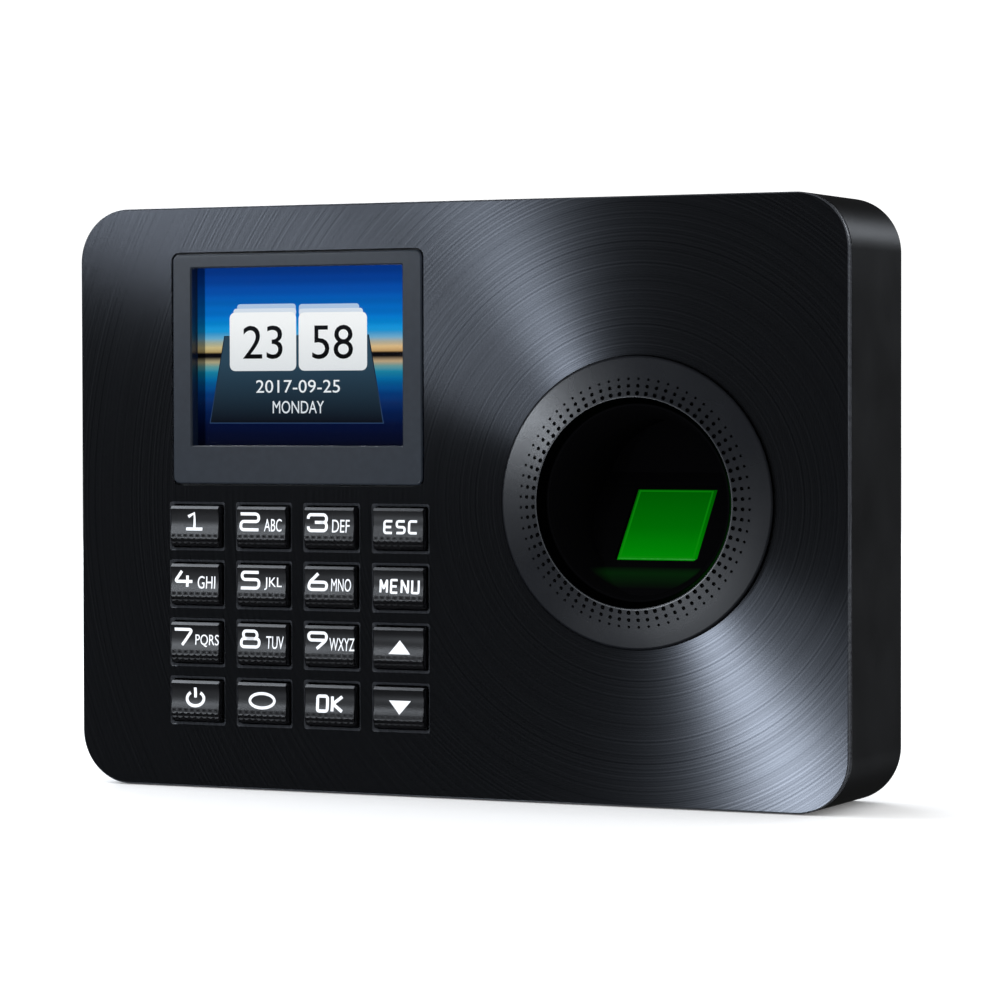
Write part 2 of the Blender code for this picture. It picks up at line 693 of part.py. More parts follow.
def finger_well():
    """The funnel behind the collar: filled below the leaning window and the ramp, and hollow behind."""
    back = WELL_FLOOR_DEPTH + WINDOW_WALL
    flange_back = WELL_FLANGE_DEPTH + WELL_FLANGE_THICKNESS
    outside = (
        (0.0, GAP),
        (WELL_RADIUS, GAP),
        (WELL_RADIUS, WELL_FLANGE_DEPTH),
        (WELL_FLANGE_RADIUS, WELL_FLANGE_DEPTH),
        (WELL_FLANGE_RADIUS, flange_back),
        (WELL_RADIUS, flange_back),
        (WELL_RADIUS, back),
        (0.0, back),
    )
    axis = at(SENSOR_X, 0.0, SENSOR_Z)
    well = turned_part("finger_well", outside, False, axis, "black_abs")

    taper = (WELL_MOUTH_RADIUS - WELL_THROAT_RADIUS) / (WELL_THROAT_DEPTH - GAP)
    inside = (
        (0.0, GAP - THROUGH),
        (WELL_MOUTH_RADIUS + taper * THROUGH, GAP - THROUGH),
        (WELL_THROAT_RADIUS, WELL_THROAT_DEPTH),
        (WELL_THROAT_RADIUS, WELL_FLOOR_DEPTH),
        (0.0, WELL_FLOOR_DEPTH),
    )
    hollow = turned_cutter("well_hollow", inside, axis)
    ramp_run = (RAMP_TOP[0] - RAMP_FOOT[0], RAMP_TOP[1] - RAMP_FOOT[1])
    ramp_start = (RAMP_FOOT[0] - ramp_run[0] / 2, RAMP_FOOT[1] - ramp_run[1] / 2)
    slope_top = on_window(0.020, 0.0)
    filled = (
        ramp_start,
        RAMP_TOP,
        slope_top,
        (slope_top[0], RAMP_FOOT[1] - 0.010),
        (ramp_start[0], RAMP_FOOT[1] - 0.010),
    )
    fill = add_cutter("well_fill", extruded("well_fill", filled, 0.060, SENSOR_X))
    combine(hollow, fill, "DIFFERENCE")
    combine(well, hollow, "DIFFERENCE")

    reach = WINDOW_LENGTH / 2 + 2 * GAP
    pocket_top = on_window(reach, -WINDOW_WALL)
    pocket_foot = on_window(-reach, -WINDOW_WALL)
    pocket_floor = pocket_foot[1] - POCKET_DROP
    pocket = (
        pocket_foot,
        pocket_top,
        (back + THROUGH, pocket_top[1]),
        (back + THROUGH, pocket_floor),
        (pocket_foot[0], pocket_floor),
    )
    cut = add_cutter("module_pocket", extruded("module_pocket", pocket, POCKET_WIDTH, SENSOR_X))
    combine(well, cut, "DIFFERENCE")
    window = block("window_cut", WINDOW_WIDTH, 4 * WINDOW_WALL, WINDOW_LENGTH, WINDOW_CORNER, 1)
    depth, z = on_window(0.0, 0.0)
    cut = add_cutter("window_cut", window, at(SENSOR_X, depth, z), (-WINDOW_LEAN, 0.0, 0.0))
    combine(well, cut, "DIFFERENCE")

    past = (WELL_FLANGE_DEPTH - THROUGH, flange_back + THROUGH)
    holes = rods("flange_cuts", WELL_SCREWS, past, CLEARANCE_RADIUS, 8)
    combine(well, add_cutter("flange_cuts", holes), "DIFFERENCE")
    for number, (x, z) in enumerate(WELL_SCREWS, 1):
        screw(f"well_screw_{number}", at(x, flange_back + GAP, z), 0.0048)


def sensor_module():
    """Prism in the window, LED board below it, lens and camera board behind it."""
    side = WINDOW_WIDTH - 2 * GAP
    reach = WINDOW_LENGTH / 2 - GAP
    head_top, head_foot = on_window(reach, -0.00025), on_window(-reach, -0.00025)
    body_top, body_foot = on_window(reach, -0.0022), on_window(-reach, -0.0022)
    outline = (head_foot, head_top, body_top, (body_top[0], body_foot[1]), body_foot)
    prism = extruded("optic_prism", outline, side, SENSOR_X)
    add_part("optic_prism", prism, (0.0, 0.0, 0.0), "prism_glass")

    led_size = (side, 0.0130, 0.0012)
    led_z = body_foot[1] - 0.0015
    led_board = block("led_board", *led_size)
    add_part("led_board", led_board, at(SENSOR_X, 0.0190, led_z), "circuit_board")

    lens_z = (body_foot[1] + body_top[1]) / 2
    barrel = ((0.0, 0.0), (0.0030, 0.0), (0.0038, 0.0007), (0.0038, 0.0021), (0.0, 0.0021))
    place = at(SENSOR_X, body_top[0] + GAP, lens_z)
    turned_part("camera_lens", barrel, False, place, "chip_epoxy", FACING_FRONT, 16)

    depths = (0.0268, 0.0280)
    board = add_part(
        "camera_board",
        slab("camera_board", (0.032, 0.024), depths, 0.001, 1),
        slab_place(SENSOR_X, lens_z, depths),
        "circuit_board",
    )
    spots = [(SENSOR_X - 0.0130, lens_z - 0.004), (SENSOR_X + 0.0130, lens_z - 0.004)]
    past = (0.0222, depths[1] + THROUGH)
    holes = add_cutter("camera_cuts", rods("camera_cuts", spots, past, CLEARANCE_RADIUS, 8))
    combine(board, holes, "DIFFERENCE")
    combine(bpy.data.objects["finger_well"], holes, "DIFFERENCE")
    for number, (x, z) in enumerate(spots, 1):
        screw(f"camera_screw_{number}", at(x, depths[1] + GAP, z), 0.0052, 0.0009, head_radius=0.0022)


def main_board():
    """The board behind the display and the keys, with what stands on it."""
    depths = (BOARD_DEPTH, BOARD_DEPTH + BOARD_THICKNESS)
    size = (BOARD_X[1] - BOARD_X[0], BOARD_Z[1] - BOARD_Z[0])
    board = add_part(
        "main_board",
        slab("main_board", size, depths, 0.0015, 1),
        slab_place(sum(BOARD_X) / 2, sum(BOARD_Z) / 2, depths),
        "circuit_board",
    )
    past = (depths[0] - THROUGH, depths[1] + THROUGH)
    holes = rods("board_cuts", BOARD_SCREWS, past, CLEARANCE_RADIUS, 8)
    combine(board, add_cutter("board_cuts", holes), "DIFFERENCE")
    for number, (x, z) in enumerate(BOARD_SCREWS, 1):
        screw(f"board_screw_{number}", at(x, BOARD_SEAT, z), 0.0064)

    chip_depths = (BOARD_SEAT, BOARD_SEAT + PROCESSOR_HEIGHT)
    chip = slab("processor", PROCESSOR_SIZE, chip_depths)
    add_part("processor", chip, slab_place(*PROCESSOR_PLACE, chip_depths), "chip_epoxy")

    holder_depths = (BOARD_SEAT, BOARD_SEAT + HOLDER_HEIGHT)
    holder = add_part(
        "cell_holder",
        slab("cell_holder", HOLDER_SIZE, holder_depths, 0.002, 1),
        slab_place(*CELL_PLACE, holder_depths),
        "chip_epoxy",
    )
    past = (BOARD_SEAT + HOLDER_FLOOR, holder_depths[1] + THROUGH)
    cup = rods("cell_cup", [CELL_PLACE], past, CELL_RADIUS + GAP, 24)
    combine(holder, add_cutter("cell_cup", cup), "DIFFERENCE")
    cell_front = BOARD_SEAT + HOLDER_FLOOR + GAP
    cell_depths = (cell_front, cell_front + CELL_HEIGHT)
    cell = rod("coin_cell", CELL_RADIUS, CELL_HEIGHT, 24)
    add_part("coin_cell", cell, slab_place(*CELL_PLACE, cell_depths), "tinned_steel")


def ports():
    """USB socket and round power socket, both open downwards through the housing's bottom wall."""
    middle_z = PORT_MOUTH_Z + PORT_LENGTH / 2
    usb_depth = BOARD_SEAT + USB_SIZE[1] / 2
    usb = add_part(
        "usb_port",
        block("usb_port", *USB_SIZE, PORT_LENGTH, 0.0005, 1, 2),
        at(USB_X, usb_depth, middle_z),
        "tinned_steel",
    )
    mouth = block("usb_mouth", USB_SIZE[0] - 2 * USB_METAL, USB_SIZE[1] - 2 * USB_METAL, 0.024)
    combine(usb, add_cutter("usb_mouth", mouth, at(USB_X, usb_depth, PORT_MOUTH_Z)), "DIFFERENCE")
    tongue = block("usb_tongue", 0.0110, 0.0018, 0.0120)
    tongue_place = at(USB_X, usb_depth - 0.0008, PORT_MOUTH_Z + 0.0070)
    combine(usb, add_cutter("usb_tongue", tongue, tongue_place), "UNION")

    jack_depth = BOARD_SEAT + JACK_SIZE[1] / 2
    jack = add_part(
        "power_jack",
        block("power_jack", *JACK_SIZE, PORT_LENGTH, 0.0005, 1, 2),
        at(JACK_X, jack_depth, middle_z),
        "chip_epoxy",
    )
    bore = rod("jack_bore", 0.0032, 0.020, 16, "Z")
    combine(jack, add_cutter("jack_bore", bore, at(JACK_X, jack_depth, PORT_MOUTH_Z)), "DIFFERENCE")
    pin = rod("jack_pin", 0.0010, 0.0100, 8, "Z")
    combine(jack, add_cutter("jack_pin", pin, at(JACK_X, jack_depth, PORT_MOUTH_Z + 0.0060)), "UNION")


def rear_cover():
    """The plate that closes the back, sunk for the wall plate, with slots for its hooks and vents."""
    depths = (COVER_DEPTH, COVER_DEPTH + COVER_THICKNESS)
    inset = 2 * (WALL + GAP)
    cover = add_part(
        "rear_cover",
        slab("rear_cover", (WIDTH - inset, HEIGHT - inset), depths, CORNER_RADIUS - inset / 2, 4),
        slab_place(0.0, HEIGHT / 2, depths),
        "black_abs",
    )
    sunk = (DEPTH - PLATE_THICKNESS - GAP, depths[1] + THROUGH)
    plate_room = (PLATE_SIZE[0] + 2 * GAP, PLATE_SIZE[1] + 2 * GAP)
    recess = slab("plate_recess", plate_room, sunk, 0.0043, 2)
    combine(cover, add_cutter("plate_recess", recess, slab_place(0.0, HEIGHT / 2, sunk)), "DIFFERENCE")
    channel_top = HEIGHT / 2 - PLATE_SIZE[1] / 2 + 0.002
    channel = slab("tongue_channel", (TONGUE_WIDTH + 2 * GAP, channel_top + 0.004), sunk)
    channel_place = slab_place(0.0, (channel_top - 0.004) / 2, sunk)
    combine(cover, add_cutter("tongue_channel", channel, channel_place), "DIFFERENCE")

    past = (depths[0] - THROUGH, depths[1] + THROUGH)
    notch_top = TONGUE_Z + PLATE_THICKNESS + 0.0006
    notch = slab("tongue_notch", (TONGUE_WIDTH + 2 * GAP, notch_top + 0.004), past)
    notch_place = slab_place(0.0, (notch_top - 0.004) / 2, past)
    combine(cover, add_cutter("tongue_notch", notch, notch_place), "DIFFERENCE")

    hook_z = HEIGHT / 2 + PLATE_SIZE[1] / 2
    slot = slab("hook_slot", (HOOK_WIDTH + 0.0008, 0.0058), past)
    slots = [(slot, slab_place(x, hook_z + 0.0010, past)) for x in (-PLATE_HOLE_X, PLATE_HOLE_X)]
    combine(cover, add_cutter("hook_slots", gather("hook_slots", slots)), "DIFFERENCE")

    vent = slab("vent", (0.020, 0.0016), past)
    vents = [(vent, slab_place(SPEAKER_X, SPEAKER_Z + 0.004 * row, past)) for row in range(-2, 3)]
    high_vent = slab("high_vent", (0.0016, 0.008), past)
    for column in range(-4, 5):
        vents.append((high_vent, slab_place(0.004 * column + SENSOR_X, 0.1165, past)))
    combine(cover, add_cutter("vents", gather("vents", vents)), "DIFFERENCE")

    holes = rods("cover_cuts", COVER_SCREWS, past, CLEARANCE_RADIUS + 0.0003, 12)
    combine(cover, add_cutter("cover_cuts", holes), "DIFFERENCE")
    seat = depths[1] - 0.0017
    sinks = rods("cover_sinks", COVER_SCREWS, (seat, depths[1] + THROUGH), HEAD_RADIUS + 0.0008, 16)
    combine(cover, add_cutter("cover_sinks", sinks), "DIFFERENCE")
    for number, (x, z) in enumerate(COVER_SCREWS, 1):
        screw(f"cover_screw_{number}", at(x, seat + GAP, z), 0.0080, 0.0012)


def wall_plate():
    """The steel plate that is screwed to the wall: two hooks hold the case and a tongue locks it."""
    depths = (DEPTH - PLATE_THICKNESS, DEPTH)
    plate = add_part(
        "wall_plate",
        slab("wall_plate", PLATE_SIZE, depths, 0.004, 2),
        slab_place(0.0, HEIGHT / 2, depths),
        "zinc_steel",
    )
    top = HEIGHT / 2 + PLATE_SIZE[1] / 2
    foot = HEIGHT / 2 - PLATE_SIZE[1] / 2
    hook = (
        (HOOK_DEPTH, top - PLATE_THICKNESS),
        (HOOK_DEPTH, top + 0.0028),
        (HOOK_DEPTH + PLATE_THICKNESS, top + 0.0028),
        (HOOK_DEPTH + PLATE_THICKNESS, top),
        (DEPTH - 0.0006, top),
        (DEPTH - 0.0006, top - PLATE_THICKNESS),
    )
    for side, x in (("left", -PLATE_HOLE_X), ("right", PLATE_HOLE_X)):
        name = "hook_" + side
        # The hook's root is set a little below the plate's top edge, so that the two shapes share metal.
        lowered = [(depth, z - 0.0002) for depth, z in hook]
        combine(plate, add_cutter(name, extruded(name, lowered, HOOK_WIDTH, x)), "UNION")

    tongue = (
        (0.0245, TONGUE_Z),
        (0.0245, TONGUE_Z + PLATE_THICKNESS),
        (depths[0] + 0.00005, TONGUE_Z + PLATE_THICKNESS),
        (depths[0] + 0.00005, foot + 0.002),
        (DEPTH - 0.00005, foot + 0.002),
        (DEPTH - 0.00005, TONGUE_Z),
    )
    combine(plate, add_cutter("tongue", extruded("tongue", tongue, TONGUE_WIDTH, 0.0)), "UNION")
    hole = rod("tongue_cut", CLEARANCE_RADIUS, 0.006, 12, "Z")
    combine(plate, add_cutter("tongue_cut", hole, at(0.0, LOCK_SCREW_DEPTH, TONGUE_Z)), "DIFFERENCE")

    past = (depths[0] - THROUGH, depths[1] + THROUGH)
    spots = pairs((-PLATE_HOLE_X, PLATE_HOLE_X), (PLATE_KEYHOLE_Z,))
    eyes = rods("keyhole_eyes", spots, past, 0.004, 16)
    combine(plate, add_cutter("keyhole_eyes", eyes), "DIFFERENCE")
    slot = slab("keyhole_slot", (0.0042, 0.0100), past, 0.0018, 2)
    slots = gather("keyhole_slots", [(slot, slab_place(x, z + 0.0045, past)) for x, z in spots])
    combine(plate, add_cutter("keyhole_slots", slots), "DIFFERENCE")
    lower = pairs((-PLATE_HOLE_X, PLATE_HOLE_X), (PLATE_LOWER_HOLE_Z,))
    combine(plate, add_cutter("lower_holes", rods("lower_holes", lower, past, 0.00225, 12)), "DIFFERENCE")
    centre = rods("plate_centre", [(0.0, HEIGHT / 2)], past, 0.008, 24)
    combine(plate, add_cutter("plate_centre", centre), "DIFFERENCE")

    screw("lock_screw", at(0.0, LOCK_SCREW_DEPTH, 0.0013), 0.0075, 0.0011, FACING_DOWN)


def speaker():
    """A small round speaker behind the vents of the rear cover."""
    profile = (
        (0.0, 0.0),
        (SPEAKER_RADIUS * 0.55, 0.0),
        (SPEAKER_RADIUS * 0.62, 0.0022),
        (SPEAKER_RADIUS, 0.0030),
        (SPEAKER_RADIUS, 0.0046),
        (0.0, 0.0046),
    )
    place = at(SPEAKER_X, COVER_DEPTH - GAP - 0.0046, SPEAKER_Z)
    turned_part("speaker", profile, False, place, "chip_epoxy", FACING_FRONT, 24)


def build():
    """Makes every part."""
    front_panel()
    front_housing()
    display()
    ribbon("lcd_ribbon", DISPLAY_X, 0.020, (0.0091, 0.078), (0.0134, 0.098), 0.006)
    keys()
    keypad()
    ribbon("keypad_ribbon", -0.043, 0.012, (0.0111, 0.040), (0.0134, 0.055), 0.005)
    sensor_collar()
    finger_well()
    sensor_module()
    main_board()
    ports()
    speaker()
    rear_cover()
    wall_plate()


build()
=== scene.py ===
"""Fingerprint scanner terminal, the looks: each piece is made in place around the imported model.

Metres, +Z up, the front faces -Y. Depths run backwards from the front plate's face.
"""

import math

import bmesh
import bpy
from mathutils import Matrix, Vector


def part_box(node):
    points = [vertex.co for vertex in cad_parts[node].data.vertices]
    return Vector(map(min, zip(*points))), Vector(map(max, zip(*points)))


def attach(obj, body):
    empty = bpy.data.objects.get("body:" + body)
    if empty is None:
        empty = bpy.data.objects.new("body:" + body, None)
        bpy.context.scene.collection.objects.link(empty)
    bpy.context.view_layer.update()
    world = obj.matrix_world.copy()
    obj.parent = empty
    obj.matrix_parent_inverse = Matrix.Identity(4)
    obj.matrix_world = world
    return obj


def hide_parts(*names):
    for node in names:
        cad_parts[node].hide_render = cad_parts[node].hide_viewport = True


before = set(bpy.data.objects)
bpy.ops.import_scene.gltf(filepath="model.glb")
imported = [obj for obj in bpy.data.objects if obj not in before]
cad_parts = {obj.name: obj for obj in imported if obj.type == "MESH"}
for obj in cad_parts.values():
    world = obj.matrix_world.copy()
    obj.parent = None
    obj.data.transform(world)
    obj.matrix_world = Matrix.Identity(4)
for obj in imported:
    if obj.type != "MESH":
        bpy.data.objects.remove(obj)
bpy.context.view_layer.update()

# ---------------------------------------------------------------------------------------------
# Front plate. A 1.5 mm aluminium sheet that was faced on a lathe about the sensor's axis, so it
# keeps fine rings, then anodised black. Its outline and key holes are chamfered. Glued on.
MM = 0.001
PLATE_LOW, PLATE_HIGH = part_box("front_panel")
FACE_Y = PLATE_LOW.y
PLATE_CORNER = 12 * MM
PLATE_CHAMFER = 0.35 * MM
COLLAR_LOW, COLLAR_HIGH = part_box("sensor_collar")
SENSOR_X = (COLLAR_LOW.x + COLLAR_HIGH.x) / 2
SENSOR_Z = (COLLAR_LOW.z + COLLAR_HIGH.z) / 2
SENSOR_HOLE = 25.8 * MM
KEY_NODES = (
    "key_1", "key_2", "key_3", "key_esc",
    "key_4", "key_5", "key_6", "key_menu",
    "key_7", "key_8", "key_9", "key_up",
    "key_power", "key_0", "key_ok", "key_down",
)
KEY_HOLE = (13.0 * MM, 9.8 * MM)
KEY_HOLE_CORNER = 0.5 * MM
KEY_RIM = 0.6 * MM
BEZEL_GAP = 0.4 * MM
RING_PITCH = 0.42 * MM
PAST = 2 * MM
SENSOR_CUTTER = 10 * MM
DISPLAY_CORNER = 1.9 * MM
FACE_GROOVE = 0.012 * MM
TURNED_FROM, TURNED_TO = FACE_Y + 0.02 * MM, FACE_Y + 0.06 * MM


def take(thing):
    """Makes one object the only selected one, and the active one."""
    bpy.ops.object.select_all(action="DESELECT")
    thing.select_set(True)
    bpy.context.view_layer.objects.active = thing


def choose(thing, kind, test):
    """In edit mode, selects only the VERT, EDGE or FACE elements that pass a test."""
    bpy.ops.mesh.select_all(action="DESELECT")
    bpy.ops.mesh.select_mode(type=kind)
    mesh = bmesh.from_edit_mesh(thing.data)
    for element in {"VERT": mesh.verts, "EDGE": mesh.edges, "FACE": mesh.faces}[kind]:
        if test(element):
            element.select_set(True)
    mesh.select_flush_mode()
    bmesh.update_edit_mesh(thing.data)


def edit(thing):
    """Opens an object in edit mode."""
    take(thing)
    bpy.ops.object.mode_set(mode="EDIT")


def extrude(move):
    """In edit mode, extrudes what is selected and moves it."""
    bpy.ops.mesh.extrude_region_move(TRANSFORM_OT_translate={"value": move})


def leave():
    """Closes edit mode."""
    bpy.ops.object.mode_set(mode="OBJECT")


def block(name, low, high):
    """A box from its lowest to its highest corner, with its place in its mesh."""
    low, high = Vector(low), Vector(high)
    bpy.ops.object.select_all(action="DESELECT")
    bpy.ops.mesh.primitive_cube_add(size=1, location=(low + high) / 2, scale=high - low)
    made = bpy.context.active_object
    made.name = name
    bpy.ops.object.transform_apply(location=True, rotation=True, scale=True)
    return made


def rod(vertices, radius, length, middle, turn=0):
    """A round bar, upright or turned about X by an angle in degrees, with its place in its mesh."""
    bpy.ops.object.select_all(action="DESELECT")
    bpy.ops.mesh.primitive_cylinder_add(
        vertices=vertices, radius=radius, depth=length, location=middle, rotation=(math.radians(turn), 0, 0)
    )
    bpy.ops.object.transform_apply(location=True, rotation=True, scale=True)
    return bpy.context.active_object


def runs_along(edge, axis):
    """True for an edge that runs along X, Y or Z (0, 1 or 2)."""
    run = edge.verts[1].co - edge.verts[0].co
    return abs(run[axis]) > 0.999 * run.length


def round_corners(thing, axis, radius, segments):
    """Rounds the edges that run along one axis."""
    edit(thing)
    choose(thing, "EDGE", lambda edge: runs_along(edge, axis))
    bpy.ops.mesh.bevel(offset=radius, segments=segments, affect="EDGES", clamp_overlap=True)
    leave()


def chamfer_at(thing, y, width, segments):
    """Bevels every edge that lies at one depth."""
    edit(thing)
    choose(thing, "EDGE", lambda edge: all(abs(vert.co.y - y) < 0.01 * MM for vert in edge.verts))
    bpy.ops.mesh.bevel(offset=width, segments=segments, affect="EDGES", clamp_overlap=True)
    leave()


def flared_hole(name, x, z, size, corner, rim, depths, segments=3):
    """A cutter for a hole with a 45 degree rim at the front: straight from the rim to the back."""
    low = (x - size[0] / 2, depths[0] + rim, z - size[1] / 2)
    high = (x + size[0] / 2, depths[1], z + size[1] / 2)
    made = block(name, low, high)
    round_corners(made, 1, corner, segments)
    edit(made)
    choose(made, "FACE", lambda face: face.normal.y < -0.9)
    run = rim + PAST
    extrude((0, -run, 0))
    wider = (1 + 2 * run / size[0], 1, 1 + 2 * run / size[1])
    bpy.ops.transform.resize(value=wider, center_override=(x, depths[0], z))
    leave()
    return made


def join(first, *others):
    """Makes one object of several."""
    take(first)
    for other in others:
        other.select_set(True)
    bpy.ops.object.join()
    return first


def combine(thing, tool, operation="DIFFERENCE"):
    """Cuts a tool out of an object, or adds it, and removes the tool."""
    take(thing)
    modifier = thing.modifiers.new("combine", "BOOLEAN")
    modifier.operation = operation
    modifier.solver = "EXACT"
    modifier.object = tool
    bpy.ops.object.modifier_apply(modifier=modifier.name)
    bpy.data.objects.remove(tool, do_unlink=True)


def smooth(thing, degrees=30):
    """Smooth shading with sharp edges kept, and with each large flat face kept flat up to its bevels."""
    take(thing)
    bpy.ops.object.shade_smooth_by_angle(angle=math.radians(degrees))
    modifier = thing.modifiers.new("flat_faces", "WEIGHTED_NORMAL")
    modifier.weight = 100
    modifier.keep_sharp = True
    bpy.ops.object.modifier_apply(modifier=modifier.name)


def colour(code):
    """An sRGB hex colour as linear RGBA."""
    parts = [int(code[place : place + 2], 16) / 255 for place in (0, 2, 4)]
    linear = [part / 12.92 if part <= 0.04045 else ((part + 0.055) / 1.055) ** 2.4 for part in parts]
    return (*linear, 1.0)


def new_material(name, settings):
    """A material with one Principled shader, its node tree and the shader."""
    made = bpy.data.materials.new(name)
    made.use_nodes = True
    shader = made.node_tree.nodes["Principled BSDF"]
    for socket, value in settings.items():
        shader.inputs[socket].default_value = value
    return made, made.node_tree, shader


def add(tree, kind, settings=None, links=None):
    """Adds a node, with its settings and the outputs that feed it."""
    node = tree.nodes.new("ShaderNode" + kind)
    for name, value in (settings or {}).items():
        if isinstance(name, str) and hasattr(node, name):
            setattr(node, name, value)
        else:
            node.inputs[name].default_value = value
    for socket, source in (links or {}).items():
        tree.links.new(source, node.inputs[socket])
    return node


def along(tree, axis):
    """A point's distance along X, Y or Z, in metres."""
    where = add(tree, "TexCoord").outputs["Object"]
    return add(tree, "SeparateXYZ", links={"Vector": where}).outputs[axis]


def across_sensor(tree):
    """A point's place across the sensor's axis, as a vector from the axis."""
    where = add(tree, "TexCoord").outputs["Object"]
    centred = {"Location": (-SENSOR_X, 0, -SENSOR_Z), "Scale": (1, 0, 1)}
    return add(tree, "Mapping", centred, {"Vector": where}).outputs["Vector"]


def blend_colours(tree, factor, first, second):
    """A colour between two hex colours, by a factor from 0 to 1."""
    ramp = add(tree, "ValToRGB", links={"Fac": factor})
    ramp.color_ramp.elements[0].color = colour(first)
    ramp.color_ramp.elements[1].color = colour(second)
    return ramp.outputs["Color"]


def dress(thing, finish, body, slot, *nodes):
    """Gives a piece its material and its body, and hides the model's nodes that it stands for; the slot is
    not used.
    """
    thing.data.materials.clear()
    thing.data.materials.append(finish)
    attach(thing, body)
    if nodes:
        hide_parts(*nodes)


def front_middle(node):
    """(x, z) of a node's middle, seen from the front."""
    low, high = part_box(node)
    return (low.x + high.x) / 2, (low.z + high.z) / 2


plate = block("turned_plate", PLATE_LOW, PLATE_HIGH)
round_corners(plate, 1, PLATE_CORNER, 20)
chamfer_at(plate, FACE_Y, PLATE_CHAMFER, 2)
BEZEL_LOW, BEZEL_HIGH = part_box("display_bezel")
display_hole = block(
    "display_hole",
    (BEZEL_LOW.x - BEZEL_GAP, FACE_Y - PAST, BEZEL_LOW.z - BEZEL_GAP),
    (BEZEL_HIGH.x + BEZEL_GAP, PLATE_HIGH.y + PAST, BEZEL_HIGH.z + BEZEL_GAP),
)
round_corners(display_hole, 1, DISPLAY_CORNER, 4)
combine(plate, display_hole)
combine(plate, rod(96, SENSOR_HOLE, SENSOR_CUTTER, (SENSOR_X, FACE_Y, SENSOR_Z), 90))
hole_depths = (FACE_Y, PLATE_HIGH.y + PAST)
key_holes = [
    flared_hole(f"hole_{node}", *front_middle(node), KEY_HOLE, KEY_HOLE_CORNER, KEY_RIM, hole_depths)
    for node in KEY_NODES
]
combine(plate, join(*key_holes))
smooth(plate, 30)

# Black anodised aluminium, face turned: each ring is a shallow groove, so light from one place
# spreads across the rings into two opposite wedges. The grooves are drawn coarser than the real
# 0.1 mm so that they show. The radial tangent makes the spread.
turned_aluminium, tree, shader = new_material(
    "turned_black_aluminium",
    {"Base Color": colour("2f3136"), "Metallic": 1.0, "Roughness": 0.23, "Anisotropic": 1.0},
)
from_axis = across_sensor(tree)
outwards = add(tree, "VectorMath", {"operation": "NORMALIZE"}, {0: from_axis})
radius = add(tree, "VectorMath", {"operation": "LENGTH"}, {0: from_axis}).outputs["Value"]
fine_rings = {"noise_dimensions": "1D", "Scale": 1 / RING_PITCH, "Detail": 0.0}
wide_rings = {"noise_dimensions": "1D", "Scale": 1 / (9 * RING_PITCH), "Detail": 2.0}
rings = add(tree, "TexNoise", fine_rings, {"W": radius})
bands = add(tree, "TexNoise", wide_rings, {"W": radius})
groove = add(tree, "Bump", {"Strength": 0.6, "Distance": FACE_GROOVE}, {"Height": rings.outputs["Fac"]})
polish = add(
    tree,
    "MapRange",
    {"From Min": 0.3, "From Max": 0.7, "To Min": 0.225, "To Max": 0.235},
    {"Value": bands.outputs["Fac"]},
)
tree.links.new(blend_colours(tree, rings.outputs["Fac"], "25272b", "3d3f43"), shader.inputs["Base Color"])
tree.links.new(polish.outputs["Result"], shader.inputs["Roughness"])
# The chamfers were milled after the turning and dyed deeper, so they mirror less.
turned = add(
    tree,
    "MapRange",
    {"From Min": TURNED_FROM, "From Max": TURNED_TO, "To Min": 1.0, "To Max": 0.0},
    {"Value": along(tree, "Y")},
)
metal = add(tree, "Math", {"operation": "MULTIPLY", 1: 0.9}, {0: turned.outputs["Result"]})
tree.links.new(metal.outputs["Value"], shader.inputs["Metallic"])
tree.links.new(outwards.outputs["Vector"], shader.inputs["Tangent"])
tree.links.new(groove.outputs["Normal"], shader.inputs["Normal"])
dress(plate, turned_aluminium, "case", "panel_face", "front_panel")

# ---------------------------------------------------------------------------------------------
# Front housing. One injection moulded shell of black ABS with a satin, very finely grained
# outside: four plain walls, a front wall behind the plate, and the tubes that the screws bite in.
SHELL_LOW, SHELL_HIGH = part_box("front_housing")
WALL = 2.2 * MM
SHELL_EDGE = 0.3 * MM
TUBES = {
    "keypad_screw_1": (2.3, 8.9),
    "board_screw_1": (2.6, 13.7),
    "well_screw_1": (2.6, 8.7),
    "cover_screw_1": (3.6, 29.4),
}
TUBE_BORE = 1.2 * MM
TUBE_WALL_EDGE = 0.3 * MM
TUBE_ROOTED = 0.2 * MM
DISPLAY_ROOM = 1.5 * MM
LOCK_SINK = ((3.0 * MM, 1.5 * MM), (1.6 * MM, 6 * MM))

shell = block("housing_shell", SHELL_LOW, SHELL_HIGH)
round_corners(shell, 1, PLATE_CORNER, 20)
chamfer_at(shell, SHELL_LOW.y, SHELL_EDGE, 2)
chamfer_at(shell, SHELL_HIGH.y, SHELL_EDGE, 3)
edit(shell)
choose(shell, "FACE", lambda face: face.normal.y > 0.999)
bpy.ops.mesh.inset(thickness=WALL - SHELL_EDGE)
inner_floor = SHELL_LOW.y + WALL
extrude((0, inner_floor - SHELL_HIGH.y, 0))
leave()

OPENING = (52.8 * MM, 39.7 * MM)
OPENING_X = (BEZEL_LOW.x + BEZEL_HIGH.x) / 2
OPENING_Z = BEZEL_LOW.z + 28.4 * MM
through = (SHELL_LOW.y - PAST, inner_floor + PAST)
front_cuts = [
    block(
        "display_room",
        (OPENING_X - OPENING[0] / 2 - DISPLAY_ROOM, through[0], OPENING_Z - OPENING[1] / 2 - DISPLAY_ROOM),
        (OPENING_X + OPENING[0] / 2 + DISPLAY_ROOM, through[1], OPENING_Z + OPENING[1] / 2 + DISPLAY_ROOM),
    )
]
for node in KEY_NODES:
    x, z = front_middle(node)
    low = (x - KEY_HOLE[0] / 2, through[0], z - KEY_HOLE[1] / 2)
    high = (x + KEY_HOLE[0] / 2, through[1], z + KEY_HOLE[1] / 2)
    front_cuts.append(block(f"room_{node}", low, high))
